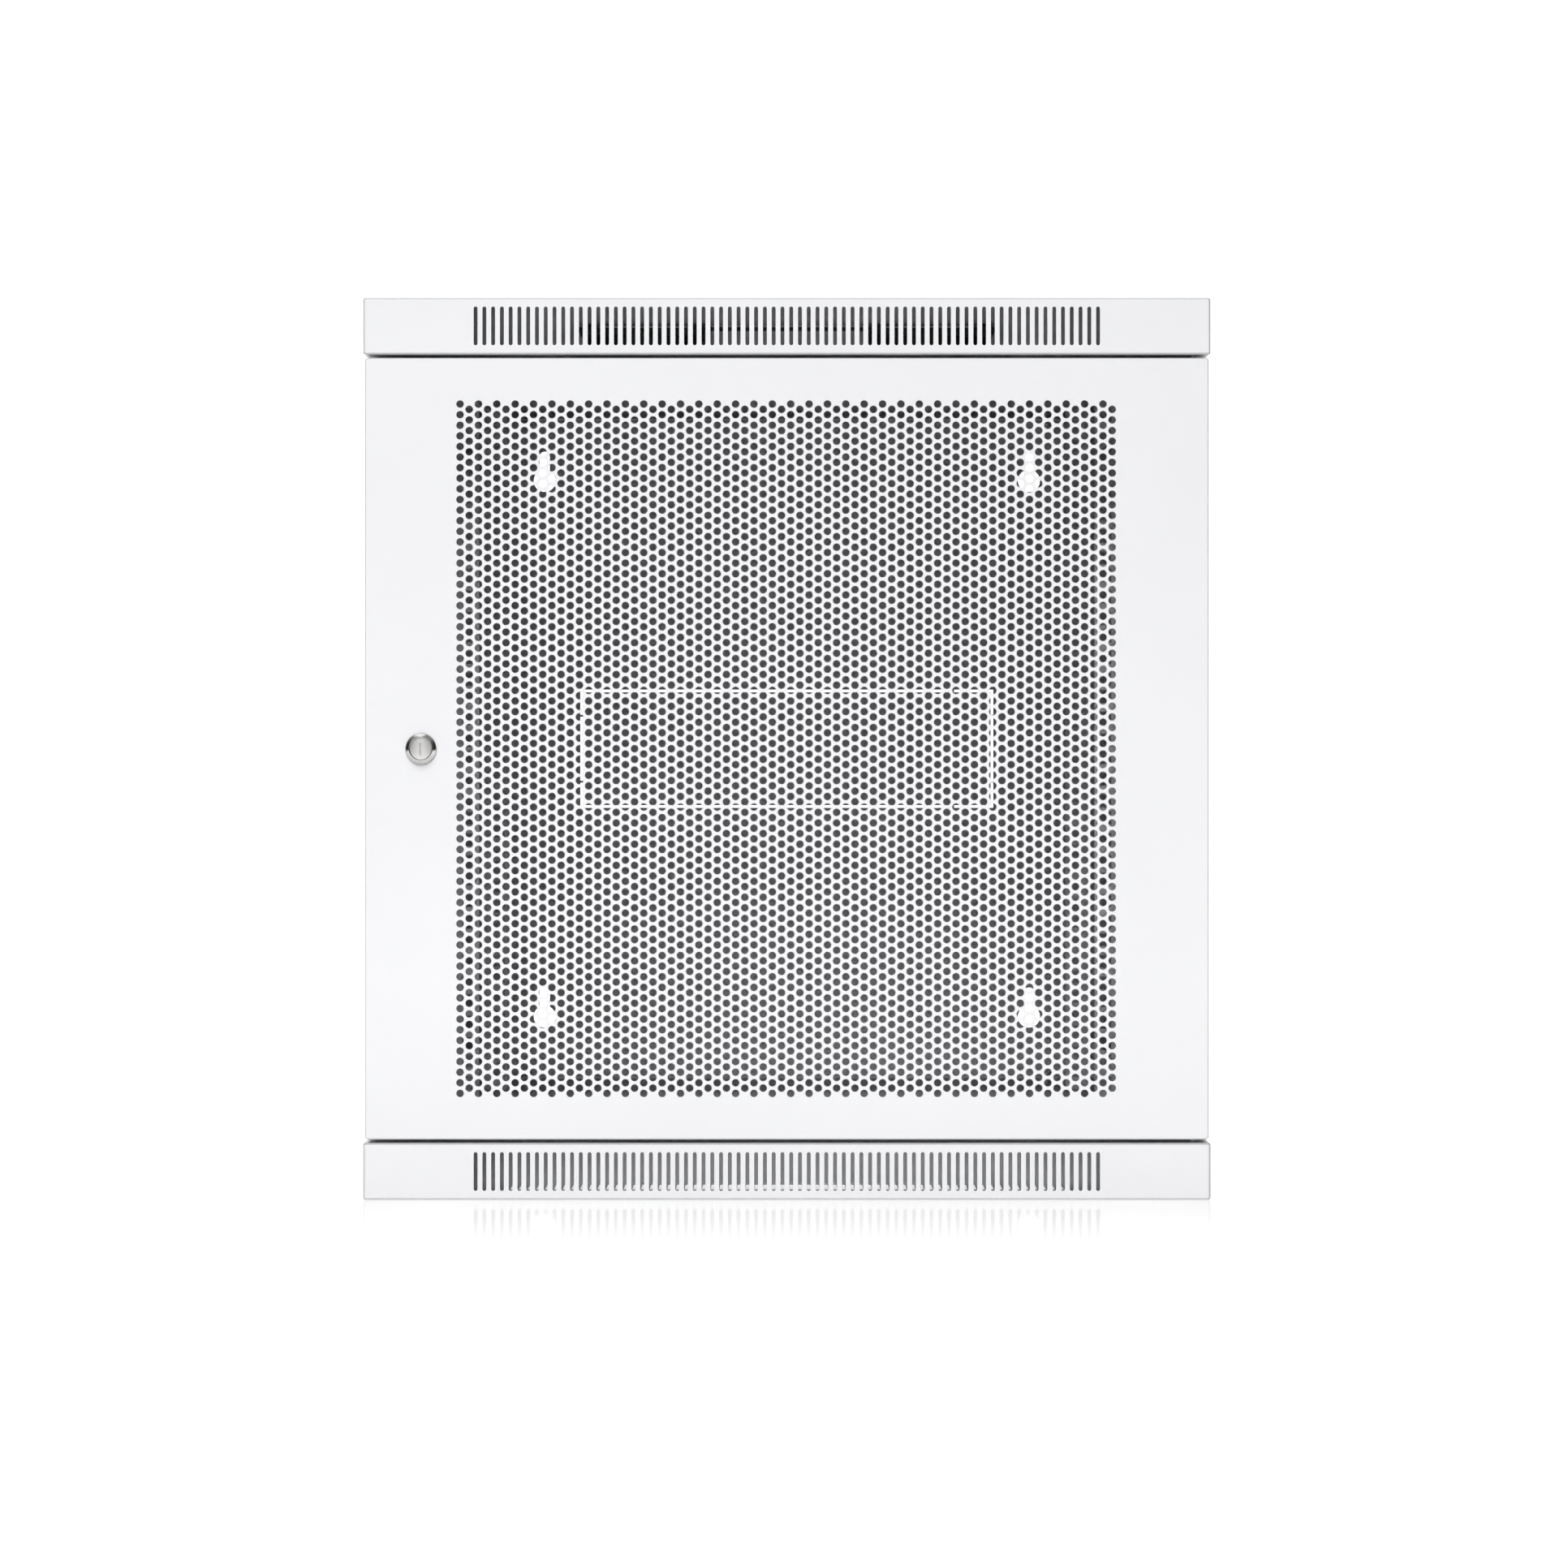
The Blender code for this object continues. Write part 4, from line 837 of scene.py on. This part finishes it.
def rotor_blade(shape, turn, radii, height):
    """One swept blade: its pitch eases off and its camber flattens from hub to tip."""
    grid = []
    for along in range(BLADE_STATIONS + 1):
        part = along / BLADE_STATIONS
        radius = between(radii, part)
        pitch = math.radians(between(BLADE_PITCH, part))
        chord = between(BLADE_CHORD, part)
        sweep = math.radians(BLADE_SWEEP) * part**1.5
        row = []
        for across in range(BLADE_STATIONS + 1):
            run = across / BLADE_STATIONS - 0.5
            camber = between(BLADE_CAMBER, part) * (1 - 4 * run * run)
            width = run * chord * math.cos(pitch) - camber * math.sin(pitch)
            rise = run * chord * math.sin(pitch) + camber * math.cos(pitch)
            angle = turn + sweep + width / radius
            rise = max(-height / 2, min(height / 2, rise))
            row.append(shape.verts.new((radius * math.cos(angle), radius * math.sin(angle), rise)))
        grid.append(row)
    for first, second in zip(grid, grid[1:]):
        for step in range(BLADE_STATIONS):
            shape.faces.new((first[step], first[step + 1], second[step + 1], second[step]))


def fan_rotor(side):
    """A hub cup with a shallow ring in its face, and its blades, which turn together."""
    node = f"{side}_fan_rotor"
    body = f"{side}_fan_spinner"
    low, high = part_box(node)
    middle = (low + high) / 2
    height = high.z - low.z
    profile = [(0, height), (HUB_RADIUS * 0.42, height), (HUB_RADIUS * 0.44, height - 0.0004),
               (HUB_RADIUS * 0.80, height - 0.0004), (HUB_RADIUS * 0.82, height)]
    profile += arc((HUB_RADIUS - 0.0014, height - 0.0014), 0.0014, 90, 0, 5)
    profile += [(HUB_RADIUS, 0), (0, 0)]
    turned(f"{side}_fan_hub", profile, (middle.x, middle.y, low.z), Z_AXIS, BLACK, body,
           node, smooth=40)
    radii = (HUB_RADIUS - 0.0006, (high.x - low.x) / 2 - TIP_CLEARANCE)
    shape = bmesh.new()
    for blade in range(FAN_BLADES):
        rotor_blade(shape, math.tau * blade / FAN_BLADES, radii, height - 0.002)
    piece = finish_shape(f"{side}_fan_blades", shape, BLACK, body,
                         place=Matrix.Translation(middle), smooth=50)
    thicken(piece, BLADE_THICKNESS, offset=0)


def fan_flanges(side, low, high):
    """The frame's two square flanges, with their bore and screw holes."""
    middle = (low + high) / 2
    half = (high.x - low.x) / 2
    inset = half - FAN_SCREW_INSET
    holes = [circle(ORIGIN, FAN_BORE_RADIUS, 64)]
    for x in (-inset, inset):
        for y in (-inset, inset):
            holes.append(circle((x, y), FAN_SCREW_RADIUS, 16))
    for level, top in (("upper", high.z), ("lower", low.z + FAN_FLANGE)):
        shape = bmesh.new()
        flat_face(shape, rounded_rectangle(half, half, FAN_CORNER, 6), holes, ORIGIN, X_AXIS,
                  Y_AXIS)
        bmesh.ops.recalc_face_normals(shape, faces=shape.faces)
        if sum(face.normal.z for face in shape.faces) < 0:
            bmesh.ops.reverse_faces(shape, faces=shape.faces)
        piece = finish_shape(f"{side}_fan_{level}_flange", shape, BLACK, "cabinet",
                             place=Matrix.Translation((middle.x, middle.y, top)))
        thicken(piece, FAN_FLANGE)


def fan_spider(side, seat):
    """The four arms that hold the motor, just above the frame's lower face."""
    outer = FAN_BORE_RADIUS + 0.001
    width, height = SPIDER_ARM
    shape = bmesh.new()
    for quarter in range(4):
        turn = Matrix.Rotation(math.radians(45 + 90 * quarter), 4, "Z")
        scale = Matrix.Diagonal((outer - SPIDER_INNER, width, height, 1))
        centre = Matrix.Translation(((outer + SPIDER_INNER) / 2, 0, SPIDER_RISE))
        arm = bmesh.ops.create_cube(shape, size=1)["verts"]
        bmesh.ops.transform(shape, matrix=turn @ centre @ scale, verts=arm)
    bmesh.ops.bevel(shape, geom=shape.edges[:], offset=0.0004, segments=2, profile=0.5,
                    affect="EDGES")
    finish_shape(f"{side}_fan_spider", shape, BLACK, "cabinet",
                 place=Matrix.Translation(seat), smooth=40)


def fan_frame(side):
    """Two square flanges, the duct between them, and the motor's base on its spider."""
    node = f"{side}_fan_frame"
    low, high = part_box(node)
    middle = (low + high) / 2
    seat = Vector((middle.x, middle.y, low.z))
    fan_flanges(side, low, high)
    gap = 0.0002
    wall = FAN_BORE_RADIUS + FAN_WALL
    top = high.z - low.z - gap
    duct = [(FAN_BORE_RADIUS, top), (wall, top), (wall, gap), (FAN_BORE_RADIUS, gap)]
    turned(f"{side}_fan_duct", duct, seat, Z_AXIS, BLACK, "cabinet", node,
           closed=True, sides=64, smooth=40)
    edge = HUB_RADIUS - 0.0005
    base = [(0, 0.003), (edge, 0.003), (HUB_RADIUS, 0.0025), (HUB_RADIUS, 0.0009),
            (edge, 0.0004), (0, 0.0004)]
    turned(f"{side}_fan_motor_base", base, seat, Z_AXIS, BLACK, "cabinet",
           smooth=40)
    fan_spider(side, seat)


def fans():
    """Both roof fans."""
    for side in SIDES:
        fan_frame(side)
        fan_rotor(side)


# ---------------------------------------------------------------- eased CAD solids


def eased(node, body, material):
    """A copy of a CAD solid with its sharp edges rounded, which stands for it."""
    shape = bmesh.new()
    shape.from_mesh(frame["nodes"][node].data)
    bmesh.ops.remove_doubles(shape, verts=shape.verts, dist=WELD)
    bmesh.ops.dissolve_limit(shape, angle_limit=math.radians(0.5), verts=shape.verts,
                             edges=shape.edges)
    sharp = [edge for edge in shape.edges
             if edge.is_manifold and edge.calc_face_angle() > math.radians(SHARP_ANGLE)]
    bmesh.ops.bevel(shape, geom=sharp, offset=EASED_EDGE, segments=2, profile=0.5,
                    affect="EDGES", clamp_overlap=True)
    finish_shape(f"{node}_finish", shape, material, body, node, smooth=SHARP_ANGLE)


def sprung_coil():
    """The sprung pin's spring, a copy of its CAD coil that rides on the door."""
    node = "hinge_spring"
    shape = bmesh.new()
    shape.from_mesh(frame["nodes"][node].data)
    piece = finish_shape(f"{node}_coil", shape, ZINC, "door", node, smooth=SHARP_ANGLE)
    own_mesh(piece)


def coat_cad_nodes():
    """Every CAD node gets its slot's look. What no piece replaces gets rounded edges too."""
    bodies = {node: body for body, nodes in frame["record"]["behaviour"]["bodies"].items()
              for node in nodes}
    for entry in frame["record"]["subparts"]:
        node, slot = entry["node"], entry["material_slot"]
        data = frame["nodes"][node].data
        data.materials.clear()
        data.materials.append(SLOT_LOOKS[slot])
        if node not in REBUILT:
            eased(node, bodies[node], SLOT_LOOKS[slot])


# ---------------------------------------------------------------- floor, light and camera


def stage_floor():
    """A pale, slightly glossy floor that runs up into a backdrop far behind, with painted light: it glows ahead of
    the cabinet, under it and towards the backdrop.
    """
    shape = bmesh.new()
    half_width, near, far, height, sweep = 2.6, -1.35, 5.0, 6.0, 1.5
    curve = arc((far - sweep, sweep), sweep, -90, 0, 16)
    rows = []
    for y, z in ((near, 0.0), *curve, (far, height)):
        rows.append([shape.verts.new((x, y, z - FLOOR_DROP)) for x in (-half_width, half_width)])
    for first, second in zip(rows, rows[1:]):
        shape.faces.new((first[0], first[1], second[1], second[0]))
    floor = as_object("studio_floor", shape)
    floor.data.shade_smooth()
    nodes = Nodes("studio_white")
    nodes.shader.inputs["Base Color"].default_value = (0.52, 0.52, 0.52, 1)
    nodes.link(nodes.spread(nodes.noise(3.0), 0.05, 0.08), nodes.shader.inputs["Roughness"])
    nodes.shader.inputs["Emission Color"].default_value = (1, 1, 1, 1)
    split = nodes.add("ShaderNodeSeparateXYZ")
    nodes.link(nodes.place, split.inputs["Vector"])
    depth = split.outputs["Y"]
    tree = nodes.tree
    polish_far, polish_near = (FRONT_Y - reach for reach in POLISH_REACH)
    polish = smooth_step(tree, depth, polish_far, polish_near, 0.0, FLOOR_POLISH)
    nodes.link(polish, nodes.shader.inputs["Specular IOR Level"])
    behind = smooth_step(tree, depth, 0.0, 2.5, 0.0, BACKDROP_GLOW)
    # painted light: the floor ahead of the front glows, to light the cabinet's foot
    ahead = smooth_step(tree, depth, FRONT_Y - FRONT_GLOW_REACH, FRONT_Y, FRONT_GLOW, 0.0)
    # painted light: the floor glows from the cabinet's front backwards, under it, to lift the shade at its foot
    under = smooth_step(tree, depth, FRONT_Y - 0.0005, FRONT_Y + 0.002, 0.0, UNDER_GLOW)
    glow = total(tree, total(tree, behind, ahead), under)
    nodes.link(glow, nodes.shader.inputs["Emission Strength"])
    floor.data.materials.append(nodes.material)


def studio_world():
    """A soft surround, bright overhead, dimmer in front and darker at the sides.

    What is seen of it past the backdrop is plain white.
    """
    world = bpy.data.worlds.new("studio")
    world.use_nodes = True
    bpy.context.scene.world = world
    tree = world.node_tree
    background = tree.nodes["Background"]
    background.inputs["Color"].default_value = (1.0, 1.0, 1.0, 1)
    place = tree.nodes.new("ShaderNodeTexCoord")
    split = tree.nodes.new("ShaderNodeSeparateXYZ")
    tree.links.new(place.outputs["Generated"], split.inputs["Vector"])
    rise = split.outputs["Z"]
    sideways = tree.nodes.new("ShaderNodeMath")
    sideways.operation = "ABSOLUTE"
    tree.links.new(split.outputs["X"], sideways.inputs[0])
    level = smooth_step(tree, rise, -0.05, 0.25, WORLD_BELOW, WORLD_FRONT)
    above = smooth_step(tree, rise, 0.25, 0.80, 0.0, WORLD_TOP - WORLD_FRONT)
    flags = smooth_step(tree, sideways.outputs["Value"], 0.60, 0.95, 1.0, WORLD_SIDE_SHARE)
    strength = tree.nodes.new("ShaderNodeMath")
    strength.operation = "MULTIPLY"
    tree.links.new(total(tree, level, above), strength.inputs[0])
    tree.links.new(flags, strength.inputs[1])
    tree.links.new(strength.outputs["Value"], background.inputs["Strength"])
    white = tree.nodes.new("ShaderNodeBackground")
    seen = tree.nodes.new("ShaderNodeLightPath")
    choice = tree.nodes.new("ShaderNodeMixShader")
    tree.links.new(seen.outputs["Is Camera Ray"], choice.inputs["Fac"])
    tree.links.new(background.outputs["Background"], choice.inputs[1])
    tree.links.new(white.outputs["Background"], choice.inputs[2])
    tree.links.new(choice.outputs["Shader"], tree.nodes["World Output"].inputs["Surface"])


def soft_light(name, place, aim, size, power, reflected=True, diffuse=True):
    """A rectangular lamp, unseen itself, which may leave out reflections or plain light."""
    lamp = bpy.data.lights.new(name, "AREA")
    lamp.shape = "RECTANGLE"
    lamp.size, lamp.size_y = size
    lamp.energy = power
    holder = bpy.data.objects.new(name, lamp)
    holder.location = place
    holder.rotation_euler = (Vector(aim) - Vector(place)).to_track_quat("-Z", "Y").to_euler()
    holder.visible_camera = False
    holder.visible_diffuse = diffuse
    holder.visible_glossy = reflected
    bpy.context.scene.collection.objects.link(holder)


def lights():
    """A large key light and, for reflections, a strip ahead and a panel overhead.

    A low strip lights the foot of the cabinet.
    """
    soft_light("key_light", (-0.7, -3.5, 5.5), (0, 0, 0.3), (4.5, 3.9), KEY_POWER,
               reflected=False)
    soft_light("strip_light", (-0.7, -4.2, 0.4), (-0.2, 0, 0.3), (1.5, 5.0), STRIP_POWER,
               diffuse=False)
    soft_light("top_light", (-0.9, -0.9, 3.6), (-0.6, -0.5, 0.3), (2.4, 2.0), TOP_POWER,
               diffuse=False)
    soft_light("base_light", (0, FRONT_Y - BASE_LIGHT_AHEAD, 0.02), (0, FRONT_Y, 0.03),
               (1.4, 0.03), BASE_POWER, reflected=False)


def camera():
    """Square to the door, at the cabinet's mid height."""
    lens_data = bpy.data.cameras.new("front_camera")
    lens_data.sensor_width = 36.0
    lens_data.lens = 73.05
    lens_data.shift_x = -0.0018
    lens_data.shift_y = -0.0225
    lens_data.clip_end = 60.0
    holder = bpy.data.objects.new("front_camera", lens_data)
    holder.location = (0, FRONT_Y - 2.25, MIDDLE_Z)
    holder.rotation_euler = (math.radians(90), 0, 0)
    bpy.context.scene.collection.objects.link(holder)
    bpy.context.scene.camera = holder


coat_cad_nodes()
sprung_coil()
covers()
door()
back_panel()
side_panels()
door_lock_bezel()
door_plug()
side_locks()
fans()
stage_floor()
studio_world()
lights()
camera()
bpy.context.scene.view_settings.view_transform = "Standard"
